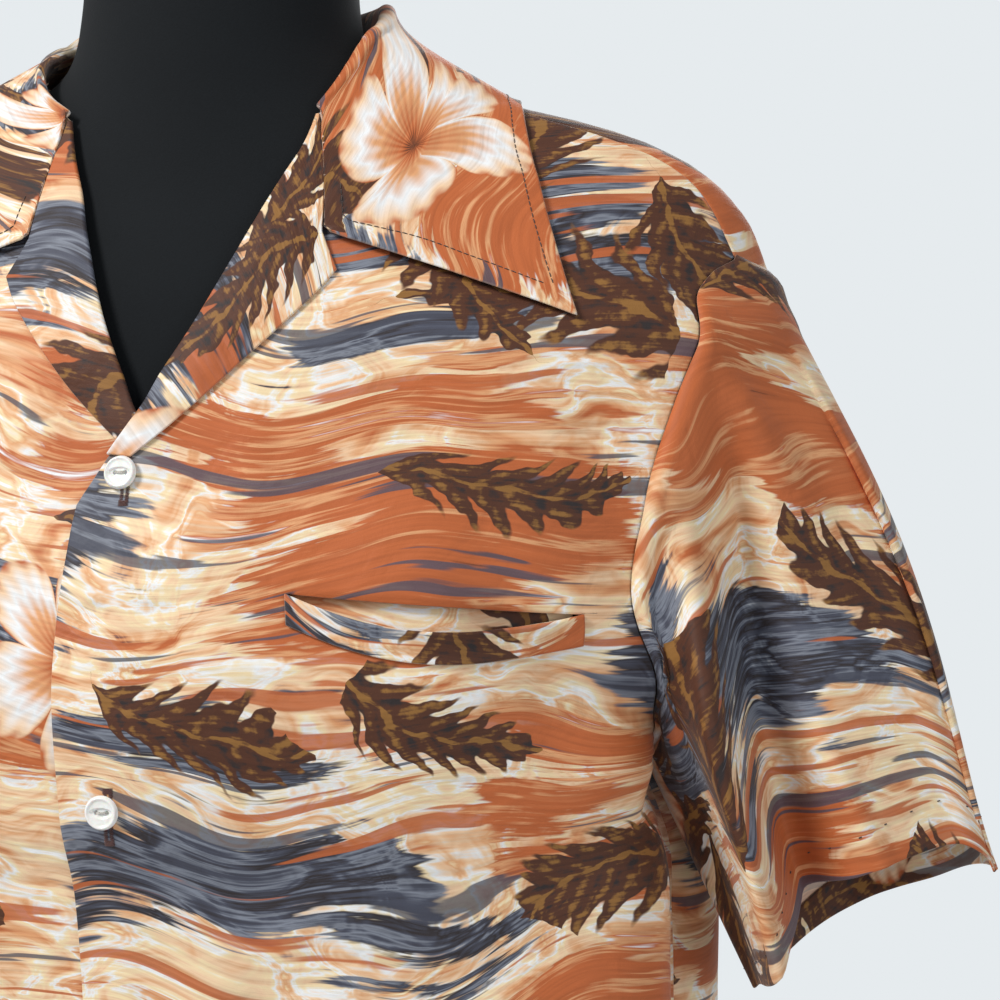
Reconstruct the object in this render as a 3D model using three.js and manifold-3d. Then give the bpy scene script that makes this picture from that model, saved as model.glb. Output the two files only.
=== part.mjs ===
// A short-sleeved, open-collared shirt worn on a limbless dress form.
// Millimetres, +Z up. The origin is the centre of the stand's underside,
// the form faces -Y, and its own left side is +X.
// Cloth and form are rings round the Z axis. A place on them is a height and
// an angle in degrees, counted from the front (0) past the left side (90).

import * as THREE from "three";
import { mergeVertices } from "three/addons/utils/BufferGeometryUtils.js";
import Module from "manifold-3d";

const wasm = await Module();
wasm.setup();

// Driving dimensions
const CLOTH = 1.2;
const COLLAR_CLOTH = 1.6;
const SEAM_GAP = 0.35;
const REST_GAP = 1.2;
const HEM_HEIGHT = 90;
const ARMPIT_HEIGHT = 572;
const SHOULDER_POINT_HEIGHT = 758;
const NECK_SIDE_HEIGHT = 834;
const NECK_BACK_HEIGHT = 845;
const ROLL_TOP_HEIGHT = 811;
const PLACKET_DEGREES = -9;
const UNDERLAP_SINK = 2.2;
const BUTTON_DIAMETER = 12;
const BUTTON_THICKNESS = 2.6;
const BUTTON_HEIGHTS = [677, 562, 447, 332, 217];
const FORM_BOTTOM = 210;
const FORM_TOP = 920;
const POLE_DIAMETER = 26;
const BASE_DIAMETER = 330;
const BASE_THICKNESS = 12;

// Small helpers
const radians = (degrees) => degrees * Math.PI / 180;
const mix = (a, b, share) => a + (b - a) * share;
const clamp = (value) => Math.min(1, Math.max(0, value));
const smooth = (value) => clamp(value) ** 2 * (3 - 2 * clamp(value));
const bell = (distance, width) => Math.exp(-((distance / width) ** 2));
const turnBetween = (a, b) => ((a - b + 540) % 360 + 360) % 360 - 180;
const swell = (share) => Math.sin(Math.PI * clamp(share));
const count = (n) => Array.from({ length: n }, (_, i) => i);

// A smooth curve through table points that never overshoots them
function smoothCurve(xs, ys) {
  const slope = xs.slice(1).map((x, i) => (ys[i + 1] - ys[i]) / (x - xs[i]));
  const tangent = xs.map((_, i) => {
    const before = slope[Math.max(0, i - 1)];
    const after = slope[Math.min(slope.length - 1, i)];
    return before * after <= 0 ? 0 : 2 * before * after / (before + after);
  });
  return (x) => {
    if (x <= xs[0]) return ys[0];
    if (x >= xs[xs.length - 1]) return ys[ys.length - 1];
    const i = xs.findIndex((edge) => edge > x) - 1;
    const span = xs[i + 1] - xs[i];
    const t = (x - xs[i]) / span;
    const rise = t * t * (3 - 2 * t);
    const lead = t * (1 - t) ** 2 * tangent[i] * span;
    const tail = t * t * (1 - t) * tangent[i + 1] * span;
    return mix(ys[i], ys[i + 1], rise) + lead - tail;
  };
}

// A table read by the name of a column and a value of its first column
function table(names, rows) {
  const curves = {};
  names.split(" ").forEach((name, column) => {
    curves[name] = smoothCurve(rows.map((row) => row[0]), rows.map((row) => row[column]));
  });
  return (name, key) => curves[name](key);
}

// A list of folds and the like, one object a row
function records(names, rows) {
  const keys = names.split(" ");
  return rows.map((row) => Object.fromEntries(keys.map((key, i) => [key, row[i]])));
}

// The dress form: at each height a core oval and a wing oval, joined softly
const FORM = table("height coreWide coreFront coreBack wingWide wingFront wingBack", [
  [210, 124, 92, 98, 158, 76, 80],
  [270, 130, 95, 104, 165, 78, 86],
  [350, 122, 90, 100, 156, 72, 82],
  [430, 112, 86, 92, 142, 70, 76],
  [500, 115, 91, 97, 146, 74, 80],
  [560, 121, 100, 103, 154, 80, 85],
  [600, 125, 105, 108, 160, 82, 89],
  [650, 126, 98, 112, 170, 78, 92],
  [700, 122, 87, 112, 180, 70, 90],
  [740, 114, 78, 106, 186, 62, 80],
  [765, 106, 70, 99, 187, 55, 71],
  [782, 98, 64.5, 92, 186, 48, 62],
  [792, 90, 62, 87, 182, 41, 53],
  [800, 82, 60, 82, 171, 36, 46],
  [808.5, 75, 58, 76, 151, 32, 40],
  [816.5, 69, 56.5, 71, 122, 30, 36],
  [825, 64, 55.5, 66, 92, 28, 32],
  [832, 61, 55, 62, 72, 27, 30],
  [840, 58, 54.5, 59, 58, 27, 30],
  [850, 56, 54, 56, 46, 27, 30],
  [870, 54, 53, 54, 40, 26, 28],
  [920, 53, 52, 53, 40, 25, 27],
]);

// How far the cloth hangs off the form at the front, the sides and the back
const EASE = table("height front side back", [
  [90, 10, 42, 18],
  [210, 10, 42, 18],
  [270, 10, 36, 12],
  [350, 11, 42, 15],
  [430, 11, 50, 22],
  [500, 6.5, 46, 19],
  [530, 7, 45, 16],
  [560, 12, 42, 12],
  [600, 12, 39, 8],
  [638, 10.5, 34, 5],
  [655, 7.5, 34, 4],
  [673, 4.2, 34, 3],
  [700, 6, 34, 2],
  [722, 5, 34, 1.6],
  [747, 4, 19.5, 1.2],
  [758, 3.6, 12.5, 1],
  [779, 3.5, 5, 0.9],
  [792, 3.5, 2.2, 0.8],
  [800, 3.4, 0.8, 0.8],
  [811, 3, 0.7, 1.1],
  [834, 3, 1.8, 2.5],
  [850, 2, 1.8, 3.5],
]);

// Folds that hang in the body: angle at the top and at the hem, half width in
// degrees, depth (out of the cloth when positive), and the heights they span
const FOLDS = records("topAngle hemAngle width depth top bottom fade", [
  [77, 73, 4.5, 4.5, 775, 640, 30],
  [72, 73, 7.5, 8, 625, -200, 60],
  [88, 88, 7, -16, 562, -200, 50],
  [50, 52, 9, 5, 690, 560, 50],
  [57, 60, 8, -5, 530, -200, 70],
  [41, 44, 8, 5, 520, -200, 80],
  [27, 25, 8, -4, 540, -200, 80],
  [13, 10, 7, 3, 500, -200, 80],
  [97, 97, 9, 10, 800, 690, 30],
  [104, 105, 8, 12, 640, -200, 60],
  [121, 120, 9, -8, 690, -200, 70],
  [139, 137, 9, 7, 700, -200, 70],
  [160, 157, 9, -6, 690, -200, 80],
  [181, 179, 10, 5, 700, -200, 80],
  [-76, -75, 5, 4, 775, 640, 30],
  [-71, -74, 8, 7, 628, -200, 60],
  [-88, -89, 7, -15, 562, -200, 50],
  [-55, -58, 9, -5, 560, -200, 80],
  [-40, -42, 8, 6, 545, -200, 70],
  [-24, -26, 8, -4, 570, -200, 80],
  [-97, -97, 9, 9, 800, 690, 30],
  [-105, -104, 8, 11, 640, -200, 60],
  [-123, -120, 9, -7, 690, -200, 70],
  [-141, -138, 9, 8, 690, -200, 70],
  [-161, -159, 8, -6, 700, -200, 80],
]);

// Where an underarm seam draws the cloth in
const PINCHES = records("angle height halfAngle halfHeight depth", [
  [90, ARMPIT_HEIGHT, 14, 36, 32],
  [-90, ARMPIT_HEIGHT, 14, 36, 31],
]);

// Edges of the body's pieces, as an angle at each height
const FRONT_EDGE = table("height angle", [
  [90, PLACKET_DEGREES],
  [640, PLACKET_DEGREES + 0.4],
  [665, PLACKET_DEGREES],
  [673, -6.8],
  [685, -2.5],
  [694, 1.2],
  [701, 4.2],
  [712, 7.7],
  [731, 15],
  [754, 23.7],
  [780, 34.9],
  [799, 45.3],
  [ROLL_TOP_HEIGHT, 51.1],
]);
const SIDE_EDGE = table("height front back", [
  [ARMPIT_HEIGHT, 90, 90],
  [576, 86, 93.5],
  [583, 81.5, 97],
  [592, 78, 100],
  [605, 75, 103],
  [620, 73.2, 105],
  [638, 72.4, 106.5],
  [665, 73, 107],
  [700, 75.4, 105.5],
  [722, 77.6, 102],
  [738, 79.8, 98.5],
  [750, 83.6, 94],
  [SHOULDER_POINT_HEIGHT, 87.1, 87.1],
  [779, 87, 87],
  [797, 86, 86],
  [809, 84.5, 84.5],
  [817, 83, 83],
  [826, 81, 81],
  [NECK_SIDE_HEIGHT, 79, 79],
]);
const BODY_ROWS = [
  HEM_HEIGHT, 150, 217, 275, 332, 390, 447, 495, 532, 557, ARMPIT_HEIGHT,
  581, 592, 606, 622, 640, 660, 677, 692, 708, 723, 737, 749, SHOULDER_POINT_HEIGHT,
  769, 779, 788, 795, 802, 809, 817, 825, NECK_SIDE_HEIGHT,
];

function ovalRadius(angle, wide, front, back) {
  const deep = Math.cos(angle) > 0 ? front : back;
  return 1 / Math.hypot(Math.sin(angle) / wide, Math.cos(angle) / deep);
}

function formRadius(height, degrees) {
  const angle = radians(degrees);
  const size = (name) => FORM(name, height);
  const core = ovalRadius(angle, size("coreWide"), size("coreFront"), size("coreBack"));
  const wing = ovalRadius(angle, size("wingWide"), size("wingFront"), size("wingBack"));
  return (core ** 8 + wing ** 8) ** (1 / 8);
}

function foldDepth(height, degrees) {
  let depth = 0;
  for (const fold of FOLDS) {
    const grown = smooth((fold.top - height) / fold.fade);
    const left = smooth((height - fold.bottom) / fold.fade);
    const run = clamp((fold.top - height) / (fold.top - HEM_HEIGHT));
    const angle = mix(fold.topAngle, fold.hemAngle, run);
    depth += fold.depth * grown * left * bell(turnBetween(degrees, angle), fold.width);
  }
  for (const pinch of PINCHES) {
    const across = bell(turnBetween(degrees, pinch.angle), pinch.halfAngle);
    depth -= pinch.depth * across * bell(height - pinch.height, pinch.halfHeight);
  }
  return depth;
}

// Radius of the cloth's inner face
function clothRadius(height, degrees) {
  const angle = radians(degrees);
  const along = Math.cos(angle) ** 2 * EASE(Math.cos(angle) > 0 ? "front" : "back", height);
  const across = Math.abs(Math.sin(angle)) ** 3 * EASE("side", height);
  return formRadius(height - REST_GAP, degrees) + along + across + foldDepth(height, degrees);
}

function polar(height, degrees, radius) {
  const angle = radians(degrees);
  return new THREE.Vector3(radius * Math.sin(angle), -radius * Math.cos(angle), height);
}

const onCloth = (height, degrees) => polar(height, degrees, clothRadius(height, degrees));

function clothNormal(height, degrees) {
  const turn = 0.2;
  const step = 0.3;
  const round = onCloth(height, degrees + turn).sub(onCloth(height, degrees - turn));
  const up = onCloth(height + step, degrees).sub(onCloth(height - step, degrees));
  return round.cross(up).normalize();
}

// A point a given distance off the cloth's inner face
function offCloth(height, degrees, distance) {
  return onCloth(height, degrees).addScaledVector(clothNormal(height, degrees), distance);
}

// Moves a point out until it stands at least this far off the cloth's inner face
function keepOff(point, distance) {
  for (const _ of count(3)) {
    const degrees = THREE.MathUtils.radToDeg(Math.atan2(point.x, -point.y));
    const normal = clothNormal(point.z, degrees);
    const off = point.clone().sub(onCloth(point.z, degrees)).dot(normal);
    if (off < distance) point.addScaledVector(normal, distance - off);
  }
  return point;
}

// Normals of a grid of points, along columns cross rows
function gridNormals(grid, ring = false) {
  const rows = grid.length;
  const columns = grid[0].length;
  return grid.map((row, i) => row.map((_, j) => {
    const right = ring ? (j + 1) % columns : Math.min(columns - 1, j + 1);
    const left = ring ? (j + columns - 1) % columns : Math.max(0, j - 1);
    const across = row[right].clone().sub(row[left]);
    const along = grid[Math.min(rows - 1, i + 1)][j].clone().sub(grid[Math.max(0, i - 1)][j]);
    return across.cross(along).normalize();
  }));
}

function shifted(grid, normals, distance) {
  return grid.map((row, i) => row.map((point, j) => (
    point.clone().addScaledVector(normals[i][j], distance)
  )));
}

function geometryFrom(points, triangles) {
  const geometry = new THREE.BufferGeometry();
  const flat = points.flatMap((point) => [point.x, point.y, point.z]);
  geometry.setAttribute("position", new THREE.Float32BufferAttribute(flat, 3));
  geometry.setIndex(triangles);
  return geometry;
}

// A closed wall between an outer and an inner grid of the same size
function wallBetween(outer, inner, ring = false) {
  const rows = outer.length;
  const columns = outer[0].length;
  const points = [...outer.flat(), ...inner.flat()];
  const triangles = [];
  const out = (i, j) => i * columns + j % columns;
  const back = (i, j) => rows * columns + out(i, j);
  const quad = (a, b, c, d) => {
    if (points[a].distanceTo(points[c]) <= points[b].distanceTo(points[d])) {
      triangles.push(a, b, c, a, c, d);
    } else {
      triangles.push(a, b, d, b, c, d);
    }
  };
  const steps = ring ? columns : columns - 1;
  for (let i = 0; i < rows - 1; i += 1) {
    for (let j = 0; j < steps; j += 1) {
      quad(out(i, j), out(i, j + 1), out(i + 1, j + 1), out(i + 1, j));
      quad(back(i, j), back(i + 1, j), back(i + 1, j + 1), back(i, j + 1));
    }
  }
  const last = rows - 1;
  for (let j = 0; j < steps; j += 1) {
    quad(out(0, j), back(0, j), back(0, j + 1), out(0, j + 1));
    quad(out(last, j), out(last, j + 1), back(last, j + 1), back(last, j));
  }
  const side = columns - 1;
  for (let i = 0; i < last && !ring; i += 1) {
    quad(out(i, 0), out(i + 1, 0), back(i + 1, 0), back(i, 0));
    quad(out(i, side), back(i, side), back(i + 1, side), out(i + 1, side));
  }
  return geometryFrom(points, triangles);
}

// A wall of even thickness about a grid that runs down its middle
function wallAbout(middle, thickness, ring = false) {
  const normals = gridNormals(middle, ring);
  return wallBetween(
    shifted(middle, normals, thickness / 2),
    shifted(middle, normals, -thickness / 2),
    ring,
  );
}

// A solid from closed rings that are stacked upward
function stackedRings(rings) {
  const size = rings[0].length;
  const points = rings.flat();
  const triangles = [];
  for (let i = 0; i < rings.length - 1; i += 1) {
    for (let j = 0; j < size; j += 1) {
      const a = i * size + j;
      const b = i * size + (j + 1) % size;
      triangles.push(a, b, b + size, a, b + size, a + size);
    }
  }
  const top = (rings.length - 1) * size;
  const middle = (ring) => ring.reduce((sum, p) => sum.add(p), new THREE.Vector3()).divideScalar(size);
  points.push(middle(rings[0]), middle(rings[rings.length - 1]));
  for (let j = 0; j < size; j += 1) {
    const next = (j + 1) % size;
    triangles.push(points.length - 2, next, j);
    triangles.push(points.length - 1, top + j, top + next);
  }
  return geometryFrom(points, triangles);
}

// Booleans
function toManifold(geometry) {
  const bare = geometry.clone();
  bare.deleteAttribute("normal");
  bare.deleteAttribute("uv");
  const merged = mergeVertices(bare, 1e-4);
  return new wasm.Manifold(new wasm.Mesh({
    numProp: 3,
    vertProperties: new Float32Array(merged.attributes.position.array),
    triVerts: new Uint32Array(merged.index.array),
  }));
}

function toGeometry(manifold) {
  const mesh = manifold.getMesh();
  const geometry = new THREE.BufferGeometry();
  geometry.setAttribute("position", new THREE.BufferAttribute(mesh.vertProperties, 3));
  geometry.setIndex(new THREE.BufferAttribute(mesh.triVerts, 1));
  return geometry;
}

const cut = (solid, ...tools) => toGeometry(
  tools.reduce((rest, tool) => rest.subtract(toManifold(tool)), toManifold(solid)),
);

// The shirt's body

// Columns lie closer together towards the sides, where the folds are tighter
const towardsSide = (share) => 1.35 * share - 0.35 * share * share;
const towardsSides = (share) => share - 0.028 * Math.sin(4 * Math.PI * share);

function frontEdgeHeight(sideHeight) {
  const start = 737;
  const slope = (ROLL_TOP_HEIGHT - start) / (NECK_SIDE_HEIGHT - start);
  return sideHeight < start ? sideHeight : start + (sideHeight - start) * slope;
}

const gapDegrees = (height, degrees) => (
  THREE.MathUtils.radToDeg(SEAM_GAP / 2 / clothRadius(height, degrees))
);

// The right front runs under the left one at the middle
function underlap(height, degrees) {
  return UNDERLAP_SINK * smooth((26 - degrees) / 14) * smooth((722 - height) / 22);
}

function frontPanel(side) {
  const columns = 15;
  const grid = (off) => BODY_ROWS.map((sideHeight) => {
    const edgeHeight = frontEdgeHeight(sideHeight);
    const edge = FRONT_EDGE("angle", edgeHeight);
    const seam = SIDE_EDGE("front", sideHeight);
    const row = count(columns + 1).map((j) => {
      const share = towardsSide(j / columns);
      const height = mix(edgeHeight, sideHeight, share);
      const degrees = mix(edge, seam - gapDegrees(sideHeight, side * seam), share);
      const sink = side < 0 ? underlap(height, degrees) : 0;
      return offCloth(height, side * degrees, off - sink);
    });
    return side < 0 ? row.reverse() : row;
  });
  return wallBetween(grid(CLOTH), grid(0));
}

function backPanel() {
  const columns = 26;
  const start = 792;
  const neckRise = NECK_BACK_HEIGHT - NECK_SIDE_HEIGHT;
  const grid = (off) => BODY_ROWS.map((sideHeight) => {
    const seam = SIDE_EDGE("back", sideHeight);
    const left = seam + gapDegrees(sideHeight, seam);
    const right = 360 - seam - gapDegrees(sideHeight, -seam);
    const lift = neckRise * smooth((sideHeight - start) / (NECK_SIDE_HEIGHT - start));
    return count(columns + 1).map((j) => {
      const share = towardsSides(j / columns);
      const height = sideHeight + lift * Math.sin(Math.PI * share) ** 2;
      return offCloth(height, mix(left, right, share), off);
    });
  });
  return wallBetween(grid(CLOTH), grid(0));
}

// Sleeves

const SLEEVE_HEM = {
  centre: new THREE.Vector3(254, 4, 513),
  across: new THREE.Vector3(0.88, 0, 0.47),
  up: new THREE.Vector3(-0.47, 0, 0.88),
  halfWidth: 50,
  front: 40,
  back: 60,
};
const CROWN_BULGE = new THREE.Vector3(10, 0, 5);

// Angles round a sleeve: 0 at its outer crease, 90 at the front, 180 underarm
const HEM_LIFT = table("angle lift", [
  [0, 0],
  [30, 16],
  [60, 22],
  [80, 25],
  [104, 28],
  [118, 17],
  [130, 8],
  [150, 3],
  [180, 0],
  [360, 0],
]);
const SLEEVE_FOLDS = records("hemAngle sweep width depth from full", [
  [44, 10, 36, -15, 0.08, 0.5],
  [105, 80, 15, -23, 0.04, 0.3],
  [130, 88, 18, 18, 0.06, 0.5],
  [156, 40, 13, -7, 0.1, 0.4],
  [248, -8, 24, 8, 0.1, 0.6],
  [300, 10, 17, -8, 0.15, 0.7],
  [214, 5, 14, -7, 0.1, 0.5],
]);
const ARMHOLE_GAP = 0.45;
const SLEEVE_CLEARANCE = 3.5;
const SLEEVE_ROWS = [0, 0.02, 0.07, 0.14, 0.24, 0.36, 0.5, 0.66, 0.83, 1];

const armholeGap = (height) => ARMHOLE_GAP + 0.5 * bell(height - ARMPIT_HEIGHT - 16, 26);

// The armhole just off the body's outer face: down the front from the shoulder
// point and up the back, each stop with its angle round the sleeve
function armhole(side) {
  const rows = BODY_ROWS.filter((h) => h >= ARMPIT_HEIGHT && h <= SHOULDER_POINT_HEIGHT);
  const stops = [];
  for (const name of ["front", "back"]) {
    const points = rows.toReversed().map((height) => (
      offCloth(height, side * SIDE_EDGE(name, height), CLOTH + armholeGap(height))
    ));
    const lengths = points.slice(1).map((point, i) => point.distanceTo(points[i]));
    const whole = lengths.reduce((sum, length) => sum + length, 0);
    const half = [];
    let run = 0;
    lengths.forEach((length, i) => {
      const angle = 180 * run / whole;
      const parts = name === "front" && angle > 55 && angle < 165 ? 2 : 1;
      count(parts).forEach((part) => half.push({
        point: points[i].clone().lerp(points[i + 1], part / parts),
        angle: 180 * (run + length * part / parts) / whole,
      }));
      run += length;
    });
    if (name === "front") stops.push(...half);
    else {
      stops.push({ point: points[points.length - 1], angle: 180 });
      half.slice(1).reverse().forEach((stop) => (
        stops.push({ point: stop.point, angle: 360 - stop.angle })
      ));
    }
  }
  return stops;
}

function sleevePoint(side, stop, t) {
  const turn = radians(stop.angle);
  const deep = Math.sin(turn) > 0 ? SLEEVE_HEM.front : SLEEVE_HEM.back;
  const hem = SLEEVE_HEM.centre.clone()
    .addScaledVector(SLEEVE_HEM.across, SLEEVE_HEM.halfWidth * Math.cos(turn))
    .addScaledVector(SLEEVE_HEM.up, HEM_LIFT("lift", stop.angle));
  hem.y -= deep * Math.sin(turn);
  hem.x *= side;
  const point = stop.point.clone().lerp(hem, t);
  const bulge = Math.max(0, Math.cos(turn)) ** 2 * 4 * t * (1 - t);
  point.x += side * CROWN_BULGE.x * bulge;
  point.z += CROWN_BULGE.z * bulge;
  for (const fold of SLEEVE_FOLDS) {
    const crest = fold.hemAngle - fold.sweep * (1 - Math.sqrt(t));
    const grown = smooth((t - fold.from) / (fold.full - fold.from));
    const depth = fold.depth * grown * bell(turnBetween(stop.angle, crest), fold.width);
    point.y -= depth * (stop.angle < 180 ? 1 : -1);
  }
  const clear = CLOTH + ARMHOLE_GAP + Math.min(SLEEVE_CLEARANCE, 200 * t);
  return t === 0 ? point : keepOff(point, clear);
}

function sleeve(side) {
  const stops = armhole(side);
  const inner = SLEEVE_ROWS.map((t) => {
    const row = stops.map((stop) => sleevePoint(side, stop, t));
    return side < 0 ? row.reverse() : row;
  });
  return wallBetween(shifted(inner, gridNormals(inner, true), CLOTH), inner, true);
}

// Collar: its neck seam, its roll and its outer edge, from the middle of the
// back (0) to the front end (1)
const COLLAR = table(
  "place seamAngle seamHeight rollAngle rollHeight rollOff edgeAngle edgeHeight bend",
  [
    [0, 180, 845, 180, 873, 9, 180, 822, 0],
    [0.3, 142, 841.6, 142, 872, 8.5, 143, 821, 0],
    [0.5, 112, 836.7, 112, 868, 7, 118, 818.5, 0],
    [0.64, 93, 834.6, 92, 856, 6, 97, 818.5, 0],
    [0.74, 80, 834, 79, 846, 5, 86, 814, 0],
    [0.84, 67, 824.4, 66, 832, 4.2, 77.5, 789, 0.15],
    [0.92, 58.5, 817.6, 58, 823, 3.6, 72, 762, 0.5],
    [1, 51.6, 812.6, 51.6, 817, 3.2, 67.4, 732, 1],
  ],
);
const GORGE = { height: 763, angle: 42.9 };
const COLLAR_LAP = 2;
const COLLAR_SPRING = 0.9;

// The seam between collar and lapel, from the roll line out to the notch
const gorgeHeight = (share) => mix(ROLL_TOP_HEIGHT, GORGE.height, share);
const gorgeAngle = (share) => mix(FRONT_EDGE("angle", ROLL_TOP_HEIGHT), GORGE.angle, share);

function collarSection(u) {
  const place = Math.abs(u);
  const size = (name) => COLLAR(name, place);
  const real = (degrees) => (u < 0 ? 360 - degrees : degrees);
  const lying = CLOTH + SEAM_GAP + COLLAR_CLOTH / 2;
  const lap = COLLAR_LAP * (1 - place ** 4);
  const seam = offCloth(size("seamHeight") - lap, real(size("seamAngle")), lying + 0.4);
  const rollAngle = real(size("rollAngle"));
  const rollOff = size("rollOff") + lying;
  const rollHeight = size("rollHeight");
  const half = Math.min(3, 0.4 * (rollHeight - size("seamHeight")));
  const crest = offCloth(rollHeight, rollAngle, rollOff);
  const outward = polar(0, rollAngle, 1);
  const arc = [180, 135, 90, 45, 0].map((degrees) => crest.clone()
    .addScaledVector(outward, half * Math.cos(radians(degrees)))
    .add(new THREE.Vector3(0, 0, half * (Math.sin(radians(degrees)) - 1))));
  const standMiddle = seam.clone().lerp(arc[0], 0.5);
  const edge = offCloth(size("edgeHeight"), real(size("edgeAngle")), lying);
  const start = arc[4];
  const gorge = (share) => offCloth(gorgeHeight(share), real(gorgeAngle(share) + 0.4), lying);
  const corner = gorge(1);
  const straight = start.clone().lerp(edge, 0.5);
  straight.addScaledVector(outward, 0.03 * start.distanceTo(edge));
  const middle = straight.clone().lerp(corner, size("bend"));
  const fall = [0.2, 0.4, 0.5, 0.6, 0.8, 1].map((v) => {
    const kinked = v < 0.5 ? gorge(v * 2) : middle.clone().lerp(edge, v * 2 - 1);
    const rounded = start.clone().multiplyScalar((1 - v) * (1 - 2 * v))
      .addScaledVector(middle, 4 * v * (1 - v))
      .addScaledVector(edge, v * (2 * v - 1));
    return keepOff(rounded.lerp(kinked, size("bend")), lying + 0.9 + COLLAR_SPRING * swell(v));
  });
  return [seam, standMiddle, ...arc, ...fall];
}

function collar() {
  const rows = 28;
  const middle = count(rows + 1).map((i) => {
    const u = 2 * i / rows - 1;
    return collarSection(Math.sign(u) * Math.abs(u) ** 0.85);
  });
  return wallAbout(middle, COLLAR_CLOTH);
}

// Lapels: the tops of the fronts turned back along the roll line
const LAPEL = table("place rollHeight edgeHeight edgeAngle", [
  [0, 684, 683, 1.7],
  [0.25, 716, 704, 16.4],
  [0.5, 748, 723, 28.6],
  [0.75, 781, 740, 39],
  [1, ROLL_TOP_HEIGHT, 749, 43.8],
]);

const LAPEL_NOTCH_TURN = 2.5;

function lapel(side) {
  const start = side < 0 ? 0.07 : 0;
  const end = 0.994;
  const rows = 9;
  const columns = 5;
  const grid = (off) => count(rows + 1).map((i) => {
    const place = mix(start, end, i / rows);
    const rollHeight = LAPEL("rollHeight", place);
    const rollAngle = FRONT_EDGE("angle", rollHeight);
    const notch = 0.77;
    const row = count(columns + 1).map((j) => {
      const share = j / columns;
      const height = mix(rollHeight, LAPEL("edgeHeight", place), share);
      const along = Math.min(share / notch, 1);
      const bow = share < notch ? along : (1 - share) / (1 - notch);
      const degrees = mix(rollAngle, LAPEL("edgeAngle", place), share)
        - LAPEL_NOTCH_TURN * bow * smooth(4 * place - 3);
      const spring = 1.5 * Math.sin(Math.PI * share) * smooth(place * 3);
      const sink = side < 0 ? underlap(height, degrees) : 0;
      return offCloth(height, side * degrees, CLOTH + SEAM_GAP + off + spring - sink);
    });
    return side < 0 ? row.reverse() : row;
  });
  return wallBetween(grid(CLOTH), grid(0));
}

// Chest pocket: a gaping mouth, the welt below it and the bag behind it
const POCKET = {
  from: 30.3,
  to: 66,
  leftHeight: 636,
  rightHeight: 628.3,
  rise: 5,
  sag: 9,
  welt: 10,
  gape: 4,
  deep: 118,
  hollow: 8,
  slack: 1.8,
};

const pocketAngle = (share) => mix(POCKET.from, POCKET.to, share);
const pocketLine = (share) => mix(POCKET.leftHeight, POCKET.rightHeight, share);
const mouthTop = (share) => pocketLine(share) + 0.4 + POCKET.rise * swell(share);
const mouthLip = (share) => pocketLine(share) - 0.4 - POCKET.sag * swell(share);

function pocketMouth() {
  const columns = 12;
  const rows = 2;
  const reach = 4;
  const grid = (off) => count(rows + 1).map((i) => count(columns + 1).map((j) => {
    const share = j / columns;
    return offCloth(mix(mouthLip(share), mouthTop(share), i / rows), pocketAngle(share), off);
  }));
  return wallBetween(grid(reach), grid(-reach));
}

function pocketWelt() {
  const columns = 14;
  const rows = 3;
  const grid = (off) => count(rows + 1).map((i) => count(columns + 1).map((j) => {
    const share = j / columns;
    const up = i / rows;
    const height = mouthLip(share) - POCKET.welt * (1 - up);
    const gape = POCKET.gape * up * up * swell(share);
    return offCloth(height, pocketAngle(share), CLOTH + SEAM_GAP + gape + off);
  }));
  return wallBetween(grid(CLOTH), grid(0));
}

// One folded wall: from the mouth's upper edge down the back of the bag, round
// its bottom and up the front to the welt
function pocketBag() {
  const columns = 9;
  const steps = [0, 0.03, 0.08, 0.35, 0.7, 0.985, 1, 0.985, 0.7, 0.35, 0.12, 0.06];
  const bottomStep = steps.indexOf(1);
  const half = CLOTH / 2;
  const grid = steps.map((down, i) => count(columns + 1).map((j) => {
    const share = j / columns;
    const behind = i <= bottomStep;
    const top = behind ? mouthTop(share) + 1 : mouthLip(share) - 1;
    const height = mix(top, pocketLine(share) - POCKET.deep, down);
    const round = Math.sqrt(clamp((1 - down) / 0.02));
    const opened = smooth(down / 0.07) * mix(1, 0.4, down);
    const room = (CLOTH + 0.5 + POCKET.hollow * swell(share) ** 0.6 * opened) * round;
    const clear = mix(SEAM_GAP, POCKET.slack, smooth(down / 0.1));
    const depth = clear + half + (behind ? room : (CLOTH + 0.5) * (1 - round) / 2);
    const inward = i === bottomStep ? clear + half + (CLOTH + 0.5) / 2 : depth;
    return offCloth(height, mix(POCKET.from + 0.6, POCKET.to - 0.6, share), -inward);
  }));
  return wallAbout(grid, CLOTH);
}

// Buttons: a rimmed disc with a lens-shaped hollow and two holes
function button() {
  const radius = BUTTON_DIAMETER / 2;
  const profile = [
    [0, 0],
    [radius - 1.4, 0],
    [radius, 0.9],
    [radius, BUTTON_THICKNESS - 0.7],
    [radius - 0.8, BUTTON_THICKNESS],
    [radius - 1.7, BUTTON_THICKNESS - 0.5],
    [0, BUTTON_THICKNESS - 0.5],
  ].map(([x, y]) => new THREE.Vector2(x, y));
  const disc = new THREE.LatheGeometry(profile, 14).rotateX(Math.PI / 2);
  const lens = new THREE.SphereGeometry(1, 10, 5).scale(4, 2, 1)
    .translate(0, 0, BUTTON_THICKNESS - 0.4);
  const hole = (x) => new THREE.CylinderGeometry(0.8, 0.8, 2 * BUTTON_THICKNESS, 6)
    .rotateX(Math.PI / 2).translate(x, 0, BUTTON_THICKNESS / 2);
  return cut(disc, lens, hole(-1.9), hole(1.9));
}

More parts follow.
